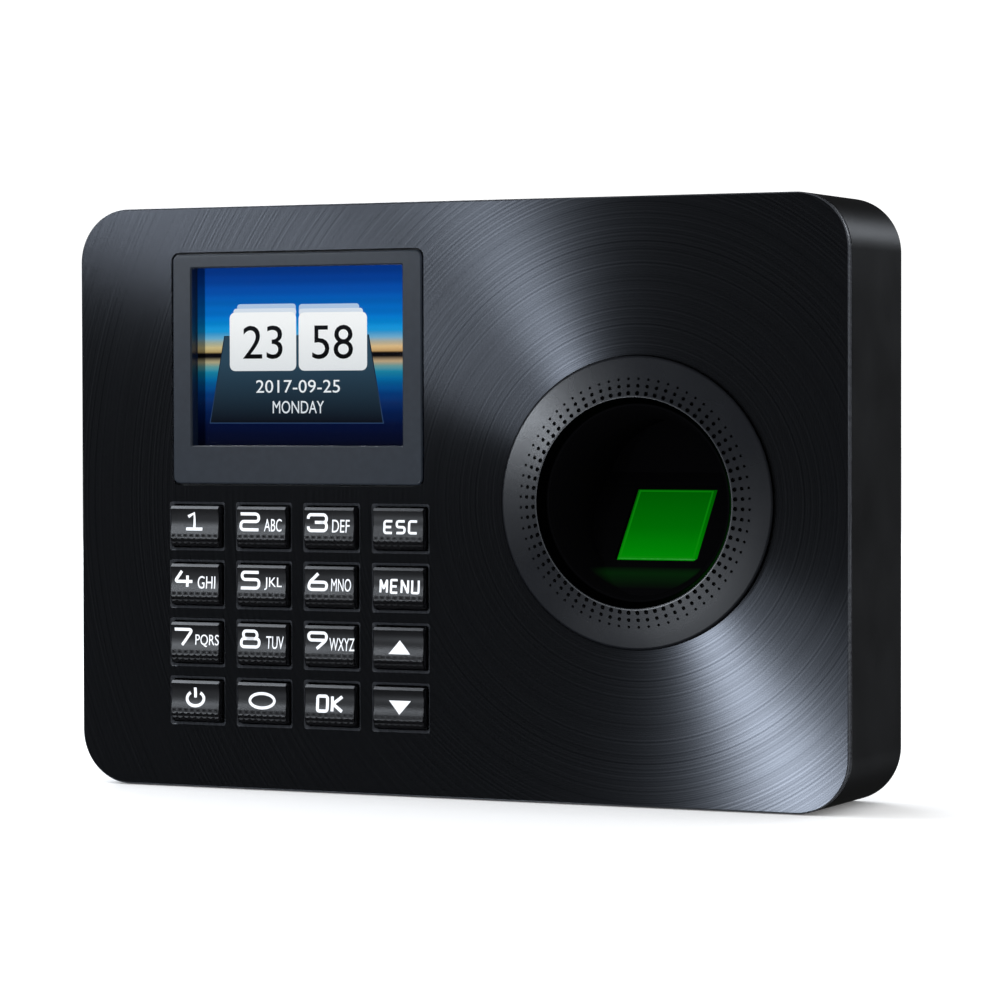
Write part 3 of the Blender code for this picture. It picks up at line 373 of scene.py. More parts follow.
front_cuts.append(rod(96, SENSOR_HOLE, SENSOR_CUTTER, (SENSOR_X, SHELL_LOW.y + WALL / 2, SENSOR_Z), 90))
combine(shell, join(*front_cuts))

# The bottom wall's openings for the two sockets and the lock screw, which sits in a sink.
for node in ("usb_port", "power_jack"):
    low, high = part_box(node)
    room = block(f"{node}_room", low - Vector((0.5, 0.6, 3)) * MM, high + Vector((0.5, 0.6, -8)) * MM)
    round_corners(room, 2, 0.8 * MM, 3)
    combine(shell, room)
lock_low, lock_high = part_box("lock_screw")
lock_x, lock_y = (lock_low.x + lock_high.x) / 2, (lock_low.y + lock_high.y) / 2
for radius, sink in LOCK_SINK:
    combine(shell, rod(32, radius, sink + PAST, (lock_x, lock_y, (sink - PAST) / 2)))

screw_tubes = []
for first, (outer, end) in TUBES.items():
    kind = first[:-1]
    for node in sorted(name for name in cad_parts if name.startswith(kind)):
        x, z = front_middle(node)
        start = inner_floor - TUBE_ROOTED
        finish = FACE_Y + end * MM
        tube = rod(24, outer * MM, finish - start, (x, (start + finish) / 2, z), -90)
        edit(tube)
        choose(tube, "FACE", lambda face: face.normal.y > 0.9)
        bpy.ops.mesh.inset(thickness=outer * MM - TUBE_BORE - TUBE_WALL_EDGE)
        bore = min(8 * MM, 0.8 * (finish - start))
        extrude((0, -bore, 0))
        leave()
        screw_tubes.append(tube)
join(shell, *screw_tubes)
smooth(shell, 35)


def moulded_grain(tree, shader, size, depth, rough, shades=None):
    """The fine grain that an eroded mould leaves: bumps of one size, uneven gloss, and two close shades."""
    where = add(tree, "TexCoord").outputs["Object"]
    grain = add(tree, "TexNoise", {"Scale": 1 / size, "Detail": 3.0}, {"Vector": where})
    cloud = add(tree, "TexNoise", {"Scale": 1 / (60 * size), "Detail": 2.0}, {"Vector": where})
    bump = add(tree, "Bump", {"Strength": 0.6, "Distance": depth}, {"Height": grain.outputs["Fac"]})
    gloss = add(
        tree,
        "MapRange",
        {"From Min": 0.3, "From Max": 0.7, "To Min": rough[0], "To Max": rough[1]},
        {"Value": cloud.outputs["Fac"]},
    )
    tree.links.new(bump.outputs["Normal"], shader.inputs["Normal"])
    tree.links.new(gloss.outputs["Result"], shader.inputs["Roughness"])
    if shades:
        tree.links.new(blend_colours(tree, grain.outputs["Fac"], *shades), shader.inputs["Base Color"])
    return grain.outputs["Fac"]


# Black ABS, moulded in a finely eroded mould: satin, with a soft wide highlight.
satin_abs, tree, shader = new_material(
    "satin_black_abs", {"Base Color": colour("060608"), "Roughness": 0.36, "IOR": 1.53}
)
moulded_grain(tree, shader, 0.35 * MM, 0.006 * MM, (0.32, 0.40), ("050507", "09090b"))
dress(shell, satin_abs, "case", "case_plastic", "front_housing")

# ---------------------------------------------------------------------------------------------
# Display bezel. A moulded frame of grey gloss ABS, wider below the picture than above. It sits in
# the plate's opening on its flange, and its skirt reaches back to the clear window.
BEZEL_CORNER = 1.6 * MM
BEZEL_EDGE = 0.4 * MM
OPENING_RIM = 0.3 * MM
OPENING_CORNER = 0.4 * MM
SKIRT_FRONT = PLATE_HIGH.y - 0.5 * MM
SKIRT_WALL = 1.2 * MM

bezel = block("bezel_frame", BEZEL_LOW, (BEZEL_HIGH.x, PLATE_HIGH.y, BEZEL_HIGH.z))
round_corners(bezel, 1, BEZEL_CORNER, 6)
chamfer_at(bezel, BEZEL_LOW.y, BEZEL_EDGE, 3)
skirt = block(
    "bezel_skirt",
    (OPENING_X - OPENING[0] / 2 - SKIRT_WALL, SKIRT_FRONT, OPENING_Z - OPENING[1] / 2 - SKIRT_WALL),
    (OPENING_X + OPENING[0] / 2 + SKIRT_WALL, BEZEL_HIGH.y, OPENING_Z + OPENING[1] / 2 + SKIRT_WALL),
)
round_corners(skirt, 1, 1.0 * MM, 3)
combine(bezel, skirt, "UNION")
hole_depths = (BEZEL_LOW.y, BEZEL_HIGH.y + PAST)
combine(
    bezel,
    flared_hole("picture_hole", OPENING_X, OPENING_Z, OPENING, OPENING_CORNER, OPENING_RIM, hole_depths),
)
smooth(bezel, 30)

# Grey ABS from a polished mould: a hard gloss over a cool dark grey. The opening's walls are painted dark
# blue, as painted shade with a dim painted reflection of the picture, so that they don't brighten the
# picture's edge.
gloss_abs, tree, shader = new_material(
    "polished_grey_abs",
    {"Base Color": colour("2a2f36"), "Roughness": 0.22, "IOR": 1.53, "Specular IOR Level": 0.32},
)
flow = moulded_grain(tree, shader, 1.6 * MM, 0.003 * MM, (0.20, 0.25))
wall_shade_depth = add(
    tree,
    "MapRange",
    {"From Min": FACE_Y + 0.15 * MM, "From Max": FACE_Y + 0.5 * MM},
    {"Value": along(tree, "Y")},
)
# Painted shade and reflection: deeper than half a millimetre, the walls take a dark blue in place of the
# grey.
painted_wall_shade = add(
    tree,
    "Mix",
    {"data_type": "RGBA", 7: colour("0a1428")},
    {0: wall_shade_depth.outputs["Result"], 6: blend_colours(tree, flow, "1f2329", "262b32")},
)
tree.links.new(painted_wall_shade.outputs[2], shader.inputs["Base Color"])
dress(bezel, gloss_abs, "case", "bezel_plastic", "display_bezel")


def soften(thing, width, segments=2, degrees=40):
    """Rounds every sharp edge a little, as moulds and tools leave them."""
    take(thing)
    modifier = thing.modifiers.new("soften", "BEVEL")
    modifier.width = width
    modifier.segments = segments
    modifier.limit_method = "ANGLE"
    modifier.angle_limit = math.radians(degrees)
    bpy.ops.object.modifier_apply(modifier=modifier.name)


# Display window. A clear sheet of cast acrylic, 0.8 mm thick, polished, that closes the opening.
WINDOW_LOW, WINDOW_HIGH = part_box("display_lens")
window = block("display_window", WINDOW_LOW, WINDOW_HIGH)
round_corners(window, 1, 0.9 * MM, 3)
soften(window, 0.08 * MM, 2)
smooth(window, 30)
clear_acrylic, tree, shader = new_material(
    "clear_acrylic",
    {"Base Color": colour("fbfdfd"), "Roughness": 0.0, "IOR": 1.49, "Transmission Weight": 1.0},
)
where = add(tree, "TexCoord").outputs["Object"]
wipes = add(tree, "TexNoise", {"Scale": 120.0, "Detail": 4.0, "Distortion": 1.5}, {"Vector": where})
haze = add(
    tree,
    "MapRange",
    {"From Min": 0.45, "From Max": 0.8, "To Min": 0.0, "To Max": 0.03},
    {"Value": wipes.outputs["Fac"]},
)
tree.links.new(haze.outputs["Result"], shader.inputs["Roughness"])
dress(window, clear_acrylic, "case", "clear_window", "display_lens")

# LCD. Two sheets of glass with the liquid crystal between them, lit from behind, in a tinned tray.
# It shows a clock: a sky over a dark shore, two flip cards with the time, and the date below.
LCD_LOW, LCD_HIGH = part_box("lcd_panel")
SKY = (
    (-20.0, "010418"), (-15.5, "000b31"), (-12.0, "011d4f"), (-10.2, "0a2c64"), (-8.4, "013878"),
    (-6.7, "024f8e"), (-5.0, "01689f"), (-3.4, "1c87a8"), (-2.2, "6c9c9c"), (-1.2, "c8ab86"),
    (-0.5, "7a6650"), (-0.1, "0a080c"), (0.75, "05040a"), (1.1, "caa06a"), (2.1, "e2bd88"),
    (3.2, "b8b6a8"), (4.1, "74aed0"), (5.6, "1c9de0"), (7.4, "028ad9"), (9.2, "0073cd"),
    (12.0, "0063bd"), (14.4, "0352b2"), (17.0, "013f98"), (19.8, "013284"),
)
SKY_SPAN = 40 * MM
DOT_PITCH = 0.36 * MM
SHADE_FROM, SHADE_TO = -25.3 * MM, -25.1 * MM

glass = block("lcd_glass", LCD_LOW, LCD_HIGH)
round_corners(glass, 1, 0.5 * MM, 2)
soften(glass, 0.1 * MM, 1)
smooth(glass, 30)
sky_crystal, tree, shader = new_material(
    "lit_liquid_crystal",
    {"Base Color": colour("020204"), "Roughness": 0.12, "Specular IOR Level": 0.0, "Emission Strength": 1.0},
)
place = add(tree, "TexCoord")
up_picture = add(
    tree,
    "Mapping",
    {"Location": (-OPENING_X, 0, 0.5 - OPENING_Z / SKY_SPAN), "Scale": (1, 1, 1 / SKY_SPAN)},
    {"Vector": place.outputs["Object"]},
)
height = add(tree, "SeparateXYZ", links={"Vector": up_picture.outputs["Vector"]})
sky = add(tree, "ValToRGB", links={"Fac": height.outputs["Z"]})
stops = sky.color_ramp.elements
stops[0].position = 0.0
stops[0].color = colour(SKY[0][1])
stops[1].position = 0.5 + SKY[-1][0] * MM / SKY_SPAN
stops[1].color = colour(SKY[-1][1])
for z, code in SKY[1:-1]:
    stops.new(0.5 + z * MM / SKY_SPAN).color = colour(code)
# The light at the sky's foot is warmer to the right, and each dot row of the glass shows faintly.
warm_side = add(
    tree,
    "MapRange",
    {"From Min": -26 * MM, "From Max": 26 * MM, "To Min": 0.8, "To Max": 1.0},
    {"Value": height.outputs["X"]},
)
side_tint = add(tree, "CombineColor", {"Green": 1.0, "Blue": 1.0}, {"Red": warm_side.outputs["Result"]})
dot_rows = add(
    tree,
    "TexWave",
    {"wave_type": "BANDS", "bands_direction": "Z", "Scale": 0.5 / DOT_PITCH / 10, "Distortion": 0.0},
    {"Vector": place.outputs["Object"]},
)
rows_seen = add(tree, "MapRange", {"To Min": 0.9, "To Max": 1.0}, {"Value": dot_rows.outputs["Fac"]})
tinted = add(
    tree,
    "Mix",
    {"data_type": "RGBA", "blend_type": "MULTIPLY", 0: 1.0},
    {6: sky.outputs["Color"], 7: side_tint.outputs["Color"]},
)
# The left edge lies in the bezel's shade.
unshaded = add(
    tree,
    "MapRange",
    {"From Min": SHADE_FROM, "From Max": SHADE_TO, "To Min": 0.3, "To Max": 1.0},
    {"Value": height.outputs["X"]},
)
strength = add(
    tree, "Math", {"operation": "MULTIPLY"}, {0: rows_seen.outputs["Result"], 1: unshaded.outputs["Result"]}
)
seen = add(
    tree, "VectorMath", {"operation": "SCALE"}, {0: tinted.outputs[2], "Scale": strength.outputs["Value"]}
)
tree.links.new(seen.outputs["Vector"], shader.inputs["Emission Color"])
dress(glass, sky_crystal, "case", "lcd_glass", "lcd_panel")


def lit_print(name, low_code, high_code, low, high):
    """A lit colour of the picture, running from one shade at a low height to another at a high one."""
    made, tree, shader = new_material(
        name, {"Base Color": (0.0, 0.0, 0.0, 1.0), "Specular IOR Level": 0.0, "Emission Strength": 1.0}
    )
    rise = add(tree, "MapRange", {"From Min": low, "From Max": high}, {"Value": along(tree, "Z")})
    shade = blend_colours(tree, rise.outputs["Result"], low_code, high_code)
    tree.links.new(shade, shader.inputs["Emission Color"])
    return made


PRINT_STEP = 0.03 * MM


def print_picture(part, name, shades, low, high):
    """Gives a part of the picture its lit colour, between two heights in mm about the opening's middle."""
    print_colour = lit_print(name, *shades, OPENING_Z + low * MM, OPENING_Z + high * MM)
    dress(part, print_colour, "case", "lcd_glass")


def picture_card(name, low, high, layer, corner):
    """A flat rounded card of the picture, from (x, z) to (x, z) in mm about the opening's middle."""
    front = LCD_LOW.y - layer * PRINT_STEP
    made = block(
        name,
        (OPENING_X + low[0] * MM, front, OPENING_Z + low[1] * MM),
        (OPENING_X + high[0] * MM, front + 0.8 * PRINT_STEP, OPENING_Z + high[1] * MM),
    )
    round_corners(made, 1, corner * MM, 4)
    return made


def lettering(name, words, low, high, front, thickness):
    """Words in the plain built-in type, fitted between two (x, z) corners, as a thin mesh."""
    bpy.ops.object.select_all(action="DESELECT")
    bpy.ops.object.text_add(rotation=(math.radians(90), 0, 0))
    made = bpy.context.active_object
    made.name = name
    made.data.body = words
    made.data.extrude = 0.5
    made.data.resolution_u = 4
    bpy.ops.object.convert(target="MESH")
    bpy.ops.object.transform_apply(location=True, rotation=True, scale=True)
    corners = [Vector(corner) for corner in made.bound_box]
    least = Vector(min(corner[axis] for corner in corners) for axis in range(3))
    most = Vector(max(corner[axis] for corner in corners) for axis in range(3))
    size = most - least
    stretch = Vector(((high[0] - low[0]) / size.x, thickness / size.y, (high[1] - low[1]) / size.z))
    made.location = (low[0] - least.x * stretch.x, front - least.y * stretch.y, low[1] - least.z * stretch.z)
    made.scale = stretch
    bpy.ops.object.transform_apply(location=True, rotation=True, scale=True)
    return made


# The dark stand behind the cards: a see-through sheet, wider at its foot, with a pale edge.
STAND_TAPER = 36.5 / 43.9
STAND_MIDDLE = OPENING_X - 1.6 * MM
stand_edge = picture_card("clock_stand_edge", (-24.1, -14.95), (19.8, 4.7), 1, 0.05)
stand = picture_card("clock_stand", (-23.85, -14.75), (19.55, 4.6), 2, 0.05)
for sheet in (stand_edge, stand):
    edit(sheet)
    choose(sheet, "VERT", lambda vert: vert.co.z > OPENING_Z)
    bpy.ops.transform.resize(value=(STAND_TAPER, 1, 1), center_override=(STAND_MIDDLE, 0, OPENING_Z))
    leave()
print_picture(stand_edge, "stand_edge_print", ("2a4266", "0f1c2c"), -15, 0)
print_picture(stand, "stand_print", ("080b16", "2c4658"), -15, -1)
# The flip cards, each a pair: two rows of edges behind, and the cards with the time in front.
for name, left, right, layer, corner, shades, heights in (
    (
        "far", ((-16.9, 9.0), (-2.05, 11.75)), ((-1.25, 9.0), (13.8, 11.6)),
        3, 0.7, ("8fb4dc", "b6cdea"), (0, 12),
    ),
    (
        "near", ((-17.85, 9.0), (-1.95, 10.75)), ((-1.25, 9.0), (14.75, 10.6)),
        4, 0.7, ("b4c6de", "dfe8f4"), (0, 11),
    ),
    (
        "time", ((-18.8, -3.2), (-1.95, 9.9)), ((-1.3, -3.2), (15.75, 9.75)),
        5, 1.3, ("e6e9ec", "fdfeff"), (-3, 8),
    ),
):
    pair = join(
        picture_card(f"{name}_cards", *left, layer, corner),
        picture_card(f"{name}_card_right", *right, layer, corner),
    )
    print_picture(pair, f"{name}_card_print", shades, *heights)


def picture_words(name, words, low, high, layer):
    """Words of the picture, between two (x, z) corners in mm about the opening's middle."""
    corners = [(OPENING_X + x * MM, OPENING_Z + z * MM) for x, z in (low, high)]
    return lettering(name, words, *corners, LCD_LOW.y - layer * PRINT_STEP, 0.6 * PRINT_STEP)


digits = join(
    picture_words("clock_digits", "23", (-15.4, -0.55), (-5.35, 6.9), 6),
    picture_words("clock_minutes", "58", (2.1, -0.65), (12.3, 6.9), 6),
)
print_picture(digits, "digit_print", ("08090b", "14161a"), 0, 7)
date = join(
    picture_words("clock_date", "2017-09-25", (-12.1, -8.1), (9.0, -5.25), 6),
    picture_words("clock_day", "MONDAY", (-7.9, -12.7), (5.0, -9.9), 6),
)
print_picture(date, "date_print", ("dfe6ee", "f4f8fc"), -13, -5)

# Back light and tray. The light is a sheet of milky acrylic; the tray is folded tinned steel.
milky_acrylic, tree, shader = new_material(
    "milky_acrylic", {"Base Color": colour("e9e8e2"), "Roughness": 0.5, "Subsurface Weight": 0.2}
)
moulded_grain(tree, shader, 0.8 * MM, 0.01 * MM, (0.45, 0.55))


def carry(finish, *names):
    """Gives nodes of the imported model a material."""
    for name in names:
        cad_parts[name].data.materials.clear()
        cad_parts[name].data.materials.append(finish)


carry(milky_acrylic, "backlight")

# Tinned steel sheet, rolled: faint lines along the rolling direction.
tinned_steel, tree, shader = new_material(
    "rolled_tinned_steel", {"Base Color": colour("b9bcc0"), "Metallic": 1.0, "Roughness": 0.3}
)
rolled = add(
    tree, "Mapping", {"Scale": (40, 900, 2500)}, {"Vector": add(tree, "TexCoord").outputs["Object"]}
)
lines = add(tree, "TexNoise", {"Scale": 1.0, "Detail": 3.0}, {"Vector": rolled.outputs["Vector"]})
dull = add(tree, "MapRange", {"To Min": 0.22, "To Max": 0.42}, {"Value": lines.outputs["Fac"]})
tree.links.new(dull.outputs["Result"], shader.inputs["Roughness"])
tree.links.new(blend_colours(tree, lines.outputs["Fac"], "a6a9ae", "c9ccd0"), shader.inputs["Base Color"])
carry(tinned_steel, "lcd_frame", "coin_cell")

# ---------------------------------------------------------------------------------------------
# Keys. Sixteen caps moulded in black ABS, all from one mould: a bevelled top edge, a hollow face, a
# row of small pits and two rows of pyramids for grip, and a flange behind that holds the cap in.
CAP_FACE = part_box("key_1")[0].y
CAP_BACK = FACE_Y + 4.3 * MM
CAP_SIZE = (12.4 * MM, 9.1 * MM)
GRIP_COLUMNS = 8
# Height from the cap's middle and depth behind its face, in mm, from the foot to the top.
CAP_ROWS = (
    (-4.55, 0.80), (-4.40, 0.58), (-3.48, 0.30), (-2.55, 0.06), (-1.60, 0.04), (-0.60, 0.22),
    (0.60, 0.36), (1.80, 0.38), (2.95, 0.25), (3.92, 0.02), (4.52, 0.55),
)
PYRAMID = 0.30 * MM
PIT = (0.27 * MM, 0.22 * MM)
PITS_FROM, PITS_TO = -2.55 * MM, -1.6 * MM
LEAST_GRIP_FACE = 0.6 * MM * MM
FLANGE = (14.6 * MM, 1.0 * MM, 11.4 * MM)
POST_RADIUS = 2.4 * MM
POST_START = CAP_BACK + 0.8 * MM
POST_END = FACE_Y + 8.0 * MM


def face_outwards(nearer=0.0):
    """In edit mode, merges points that lie nearer than a distance, and turns all faces outwards."""
    bpy.ops.mesh.select_all(action="SELECT")
    if nearer:
        bpy.ops.mesh.remove_doubles(threshold=nearer)
    bpy.ops.mesh.normals_make_consistent(inside=False)


def put(name, data):
    """A new object that holds a mesh, a light or a lens."""
    made = bpy.data.objects.new(name, data)
    bpy.context.scene.collection.objects.link(made)
    return made


def sink_pits(thing, test, radius, depth):
    """Turns each face that passes the test into a small four sided pit at its middle."""
    choose(thing, "FACE", test)
    bpy.ops.mesh.poke()

    def is_poked(vert):
        return len(vert.link_edges) == 4 and all(len(face.verts) == 3 for face in vert.link_faces)

    choose(thing, "VERT", is_poked)
    bpy.ops.mesh.bevel(offset=radius, segments=1, affect="VERTICES")
    choose(thing, "FACE", lambda face: len(face.verts) == 4 and face.calc_area() < 2.2 * radius * radius)
    bpy.ops.mesh.inset(thickness=0.3 * radius, depth=-depth, use_individual=True)


bpy.ops.object.select_all(action="DESELECT")
bpy.ops.mesh.primitive_grid_add(
    x_subdivisions=GRIP_COLUMNS, y_subdivisions=len(CAP_ROWS) - 1, size=1, rotation=(math.radians(90), 0, 0)
)
cap = bpy.context.active_object
cap.name = "key_cap"
cap.scale = (CAP_SIZE[0], CAP_SIZE[1], 1)
bpy.ops.object.transform_apply(location=True, rotation=True, scale=True)
edit(cap)
levels = sorted({round(vert.co.z, 6) for vert in cap.data.vertices})
for level, (height, depth) in zip(levels, CAP_ROWS):
    choose(cap, "VERT", lambda vert: abs(vert.co.z - level) < 0.1 * MM and abs(vert.co.y) < 1e-9)
    bpy.ops.transform.translate(value=(0, depth * MM + 1e-6, height * MM - level))
choose(cap, "EDGE", lambda edge: edge.is_boundary)
extrude((0, 2 * MM, 0))
back = CAP_BACK - CAP_FACE
bpy.ops.transform.resize(value=(1, 0, 1), center_override=(0, back, 0))
choose(cap, "EDGE", lambda edge: edge.is_boundary)
extrude((0, 0, 0))
bpy.ops.transform.resize(
    value=(FLANGE[0] / CAP_SIZE[0], 1, FLANGE[2] / CAP_SIZE[1]), center_override=(0, back, 0)
)
extrude((0, FLANGE[1], 0))
bpy.ops.mesh.edge_face_add()
face_outwards()
leave()
soften(cap, 0.16 * MM, 2, 62)


def is_grip(face):
    """True for a cell of the cap's face, large enough to carry a pit or a pyramid."""
    return face.normal.y < -0.5 and face.calc_area() > LEAST_GRIP_FACE


def is_foot_cell(face):
    """True for a cell of the two rows below the pits."""
    middle = face.calc_center_median()
    return is_grip(face) and len(face.verts) == 4 and middle.y < back - 1 * MM and middle.z < PITS_FROM


edit(cap)
choose(cap, "FACE", is_foot_cell)
bpy.ops.mesh.poke(offset=PYRAMID)
sink_pits(cap, lambda face: is_grip(face) and PITS_FROM < face.calc_center_median().z < PITS_TO, *PIT)
leave()
post = rod(24, POST_RADIUS, POST_END - POST_START, (0, (POST_END + POST_START) / 2 - CAP_FACE, 0), 90)
soften(post, 0.3 * MM, 2)
join(cap, post)
smooth(cap, 28)

# Black ABS from a polished mould, glossier than the housing, with very fine wear from fingers.
key_abs, tree, shader = new_material(
    "polished_black_abs",
    {"Base Color": colour("0b0b0d"), "Roughness": 0.25, "IOR": 1.53, "Specular IOR Level": 0.5},
)
moulded_grain(tree, shader, 0.5 * MM, 0.004 * MM, (0.22, 0.30), ("09090b", "0e0e11"))

for node in KEY_NODES:
    x, z = front_middle(node)
    key = put(f"{node}_cap", cap.data.copy())
    key.data.transform(Matrix.Translation((x, CAP_FACE, z)))
    dress(key, key_abs, node, "key_plastic", node)
bpy.data.objects.remove(cap, do_unlink=True)

# Key legends. White ink, pad printed on the hollow faces: wide round-cornered figures drawn in one
# stroke width, small capitals beside them, and two arrows and a switch symbol.
INK = 0.03 * MM
FIGURE_LOW, FIGURE_HIGH = (-5.55, -0.95), (-0.35, 3.25)
SMALL_FOOT, SMALL_TOP = -0.95, 1.85
FIGURE_STROKE = 0.68
# Each stroke is a line of (x, z) points in a box that is one wide and one high.
FIGURES = {
    "1": [[(0.12, 0.78), (0.5, 1), (0.5, 0)], [(0, 0), (1, 0)]],
    "2": [[(0, 1), (1, 1), (1, 0.52), (0, 0.52), (0, 0), (1, 0)]],
    "3": [
        [(0, 0.74), (0, 1), (1, 1), (1, 0.52), (0.36, 0.52)],
        [(0.6, 0.52), (1, 0.52), (1, 0), (0, 0), (0, 0.26)],
    ],
    "4": [[(0.42, 1), (0, 0.34), (1, 0.34)], [(0.72, 0.72), (0.72, 0)]],
    "5": [[(1, 1), (0.06, 1), (0.06, 0.54), (1, 0.54), (1, 0), (0, 0)]],
    "6": [[(0.55, 1), (0.02, 0.42), (0.02, 0), (1, 0), (1, 0.46), (0.14, 0.46)]],
    "7": [[(0, 1), (1, 1), (0.42, 0)]],
    "8": [
        [(0.12, 0.52), (0.12, 1), (0.88, 1), (0.88, 0.52), "close"],
        [(0, 0), (0, 0.52), (1, 0.52), (1, 0), "close"],
    ],
    "9": [[(0.45, 0), (0.98, 0.58), (0.98, 1), (0, 1), (0, 0.54), (0.86, 0.54)]],
    "E": [[(1, 1), (0, 1), (0, 0), (1, 0)], [(0.1, 0.5), (0.86, 0.5)]],
    "S": [[(1, 1), (0, 1), (0, 0.5), (1, 0.5), (1, 0), (0, 0)]],
    "C": [[(1, 1), (0, 1), (0, 0), (1, 0)]],
    "M": [[(0, 0), (0, 1), (0.5, 0.3), (1, 1), (1, 0)]],
    "N": [[(0, 0), (0, 1), (1, 0), (1, 1)]],
    "U": [[(0, 1), (0, 0), (1, 0), (1, 1)]],
    "O": [[(0, 0), (0, 1), (1, 1), (1, 0), "close"]],
    "K": [[(0, 0), (0, 1)], [(1, 1), (0.06, 0.5), (1, 0)]],
}


def hollow_depth(height):
    """How far behind the cap's front a height on its face lies, from the mould's rows."""
    rows = [(z * MM, depth * MM) for z, depth in CAP_ROWS]
    for (low, low_depth), (high, high_depth) in zip(rows, rows[1:]):
        if low <= height <= high:
            return low_depth + (high_depth - low_depth) * (height - low) / (high - low)
    return 0.0


def ink_stroke(points, closed, width, rounding):
    """One inked line through (x, z) points in mm: a wire with rounded corners, thickened and flattened."""
    wire = bpy.data.meshes.new("ink")
    count = len(points)
    steps = [(place, (place + 1) % count) for place in range(count if closed else count - 1)]
    wire.from_pydata([(x * MM, 0, z * MM) for x, z in points], steps, [])
    line = put("ink", wire)
    if rounding:
        edit(line)
        choose(line, "VERT", lambda vert: len(vert.link_edges) == 2)
        bpy.ops.mesh.bevel(offset=rounding * MM, segments=5, affect="VERTICES", clamp_overlap=True)
        leave()
    take(line)
    bpy.ops.object.convert(target="CURVE")
    line.data.bevel_depth = width / 2 * MM
    line.data.bevel_resolution = 2
    line.data.use_fill_caps = True
    bpy.ops.object.convert(target="MESH")
    line.scale = (1, INK / (width * MM), 1)
    bpy.ops.object.transform_apply(location=True, rotation=True, scale=True)
    return line


def ink_figures(words, low, high, width, rounding, space=0.35):
    """Stroked figures side by side between two (x, z) corners, in mm. The corners are the outer ones."""
    inset = width / 2
    across = (high[0] - low[0] + space) / len(words) - space
    lines = []
    for number, letter in enumerate(words):
        left = low[0] + number * (across + space) + inset
        for stroke in FIGURES[letter]:
            closed = stroke[-1] == "close"
            points = [point for point in stroke if point != "close"]
            tall = high[1] - low[1] - width
            fitted = [(left + x * (across - width), low[1] + inset + z * tall) for x, z in points]
            lines.append(ink_stroke(fitted, closed, width, rounding))
    return lines


def ink_words(words, low, high):
    """Small capitals in the plain type, stretched between two (x, z) corners, in mm."""
    corners = [(x * MM, z * MM) for x, z in (low, high)]
    return [lettering("ink_words", words, *corners, -INK / 2, INK)]


def ink_ring(middle, radii, width, gap_degrees):
    """An inked ring or ellipse, open at the top by an angle, in mm."""
    gap = math.radians(gap_degrees)
    turn = 2 * math.pi - gap
    count = 40
    angles = [math.pi / 2 + gap / 2 + turn * step / count for step in range(count + (1 if gap else 0))]
    points = [
        (middle[0] + radii[0] * math.cos(angle), middle[1] + radii[1] * math.sin(angle)) for angle in angles
    ]
    return ink_stroke(points, gap == 0, width, 0)


def ink_arrow(points):
    """A solid inked triangle through three (x, z) points, in mm."""
    flat = bpy.data.meshes.new("ink_arrow")
    flat.from_pydata([(x * MM, -INK / 2, z * MM) for x, z in points], [], [(0, 1, 2)])
    arrow = put("ink_arrow", flat)
    edit(arrow)
    bpy.ops.mesh.select_all(action="SELECT")
    extrude((0, INK, 0))
    face_outwards()
    leave()
    return arrow


def small_words(words, middle, width):
    """Small capitals centred at x, in mm."""
    return ink_words(words, (middle - width / 2, SMALL_FOOT), (middle + width / 2, SMALL_TOP))


def wide_figure(figure):
    """A wide figure at the cap's left."""
    return ink_figures(figure, FIGURE_LOW, FIGURE_HIGH, FIGURE_STROKE, 0.75)


LEGENDS = {
    "key_1": ink_figures("1", (-2.5, -0.95), (2.35, 3.25), FIGURE_STROKE, 0.0),
    "key_2": wide_figure("2") + small_words("ABC", 2.9, 4.4),
    "key_3": wide_figure("3") + small_words("DEF", 2.9, 4.3),
    "key_esc": ink_figures("ESC", (-3.65, -1.15), (4.85, 1.95), 0.54, 0.5, 0.55),
    "key_4": wide_figure("4") + small_words("GHI", 2.95, 4.5),
    "key_5": wide_figure("5") + small_words("JKL", 2.9, 4.4),
    "key_6": wide_figure("6") + small_words("MNO", 2.9, 4.9),
    "key_menu": ink_figures("MENU", (-4.6, -1.2), (5.2, 2.05), 0.5, 0.2, 0.5),
    "key_7": wide_figure("7") + small_words("PQRS", 3.05, 6.0),
    "key_8": wide_figure("8") + small_words("TUV", 3.3, 4.4),
    "key_9": wide_figure("9") + small_words("WXYZ", 3.05, 6.2),
    "key_up": [ink_arrow([(-2.35, -1.3), (2.95, -1.3), (0.3, 1.75)])],
    "key_power": [ink_ring((0, 0.5), (2.15, 1.6), 0.7, 70), ink_stroke([(0, 3.0), (0, 0.75)], False, 0.7, 0)],
    "key_0": [ink_ring((0, 0.55), (3.1, 1.6), 0.65, 0)],
    "key_ok": ink_figures("OK", (-3.4, -1.6), (3.45, 2.4), 0.72, 0.5, 0.5),
    "key_down": [ink_arrow([(-2.4, 1.6), (0.25, -1.45), (2.95, 1.6)])],
}

# Pad printing ink: a thin white film that follows the face, a little uneven at this scale, with a faint
# painted glow of its own.
print_ink, tree, shader = new_material("white_print_ink", {"Base Color": colour("dcdee2"), "Roughness": 0.45})
ink_grain_and_painted_glow = moulded_grain(tree, shader, 0.25 * MM, 0.002 * MM, (0.40, 0.50), ("d4d7dc", "e6e8ec"))
# Painted glow: the ink gives off a little white light, following the same grain.
tree.links.new(blend_colours(tree, ink_grain_and_painted_glow, "e6e9ee", "ffffff"), shader.inputs["Emission Color"])
shader.inputs["Emission Strength"].default_value = 0.12

for node, lines in LEGENDS.items():
    x, z = front_middle(node)
    legend = join(*lines)
    legend.name = f"{node}_legend"
    edit(legend)
    for height, _ in CAP_ROWS[4:-1]:
        bpy.ops.mesh.select_all(action="SELECT")
        bpy.ops.mesh.bisect(plane_co=(0, 0, height * MM), plane_no=(0, 0, 1))
    leave()
    for vert in legend.data.vertices:
        vert.co.y += hollow_depth(vert.co.z) - 0.3 * INK
    legend.data.transform(Matrix.Translation((x, CAP_FACE, z)))
    smooth(legend, 30)
    dress(legend, print_ink, node, "key_plastic")

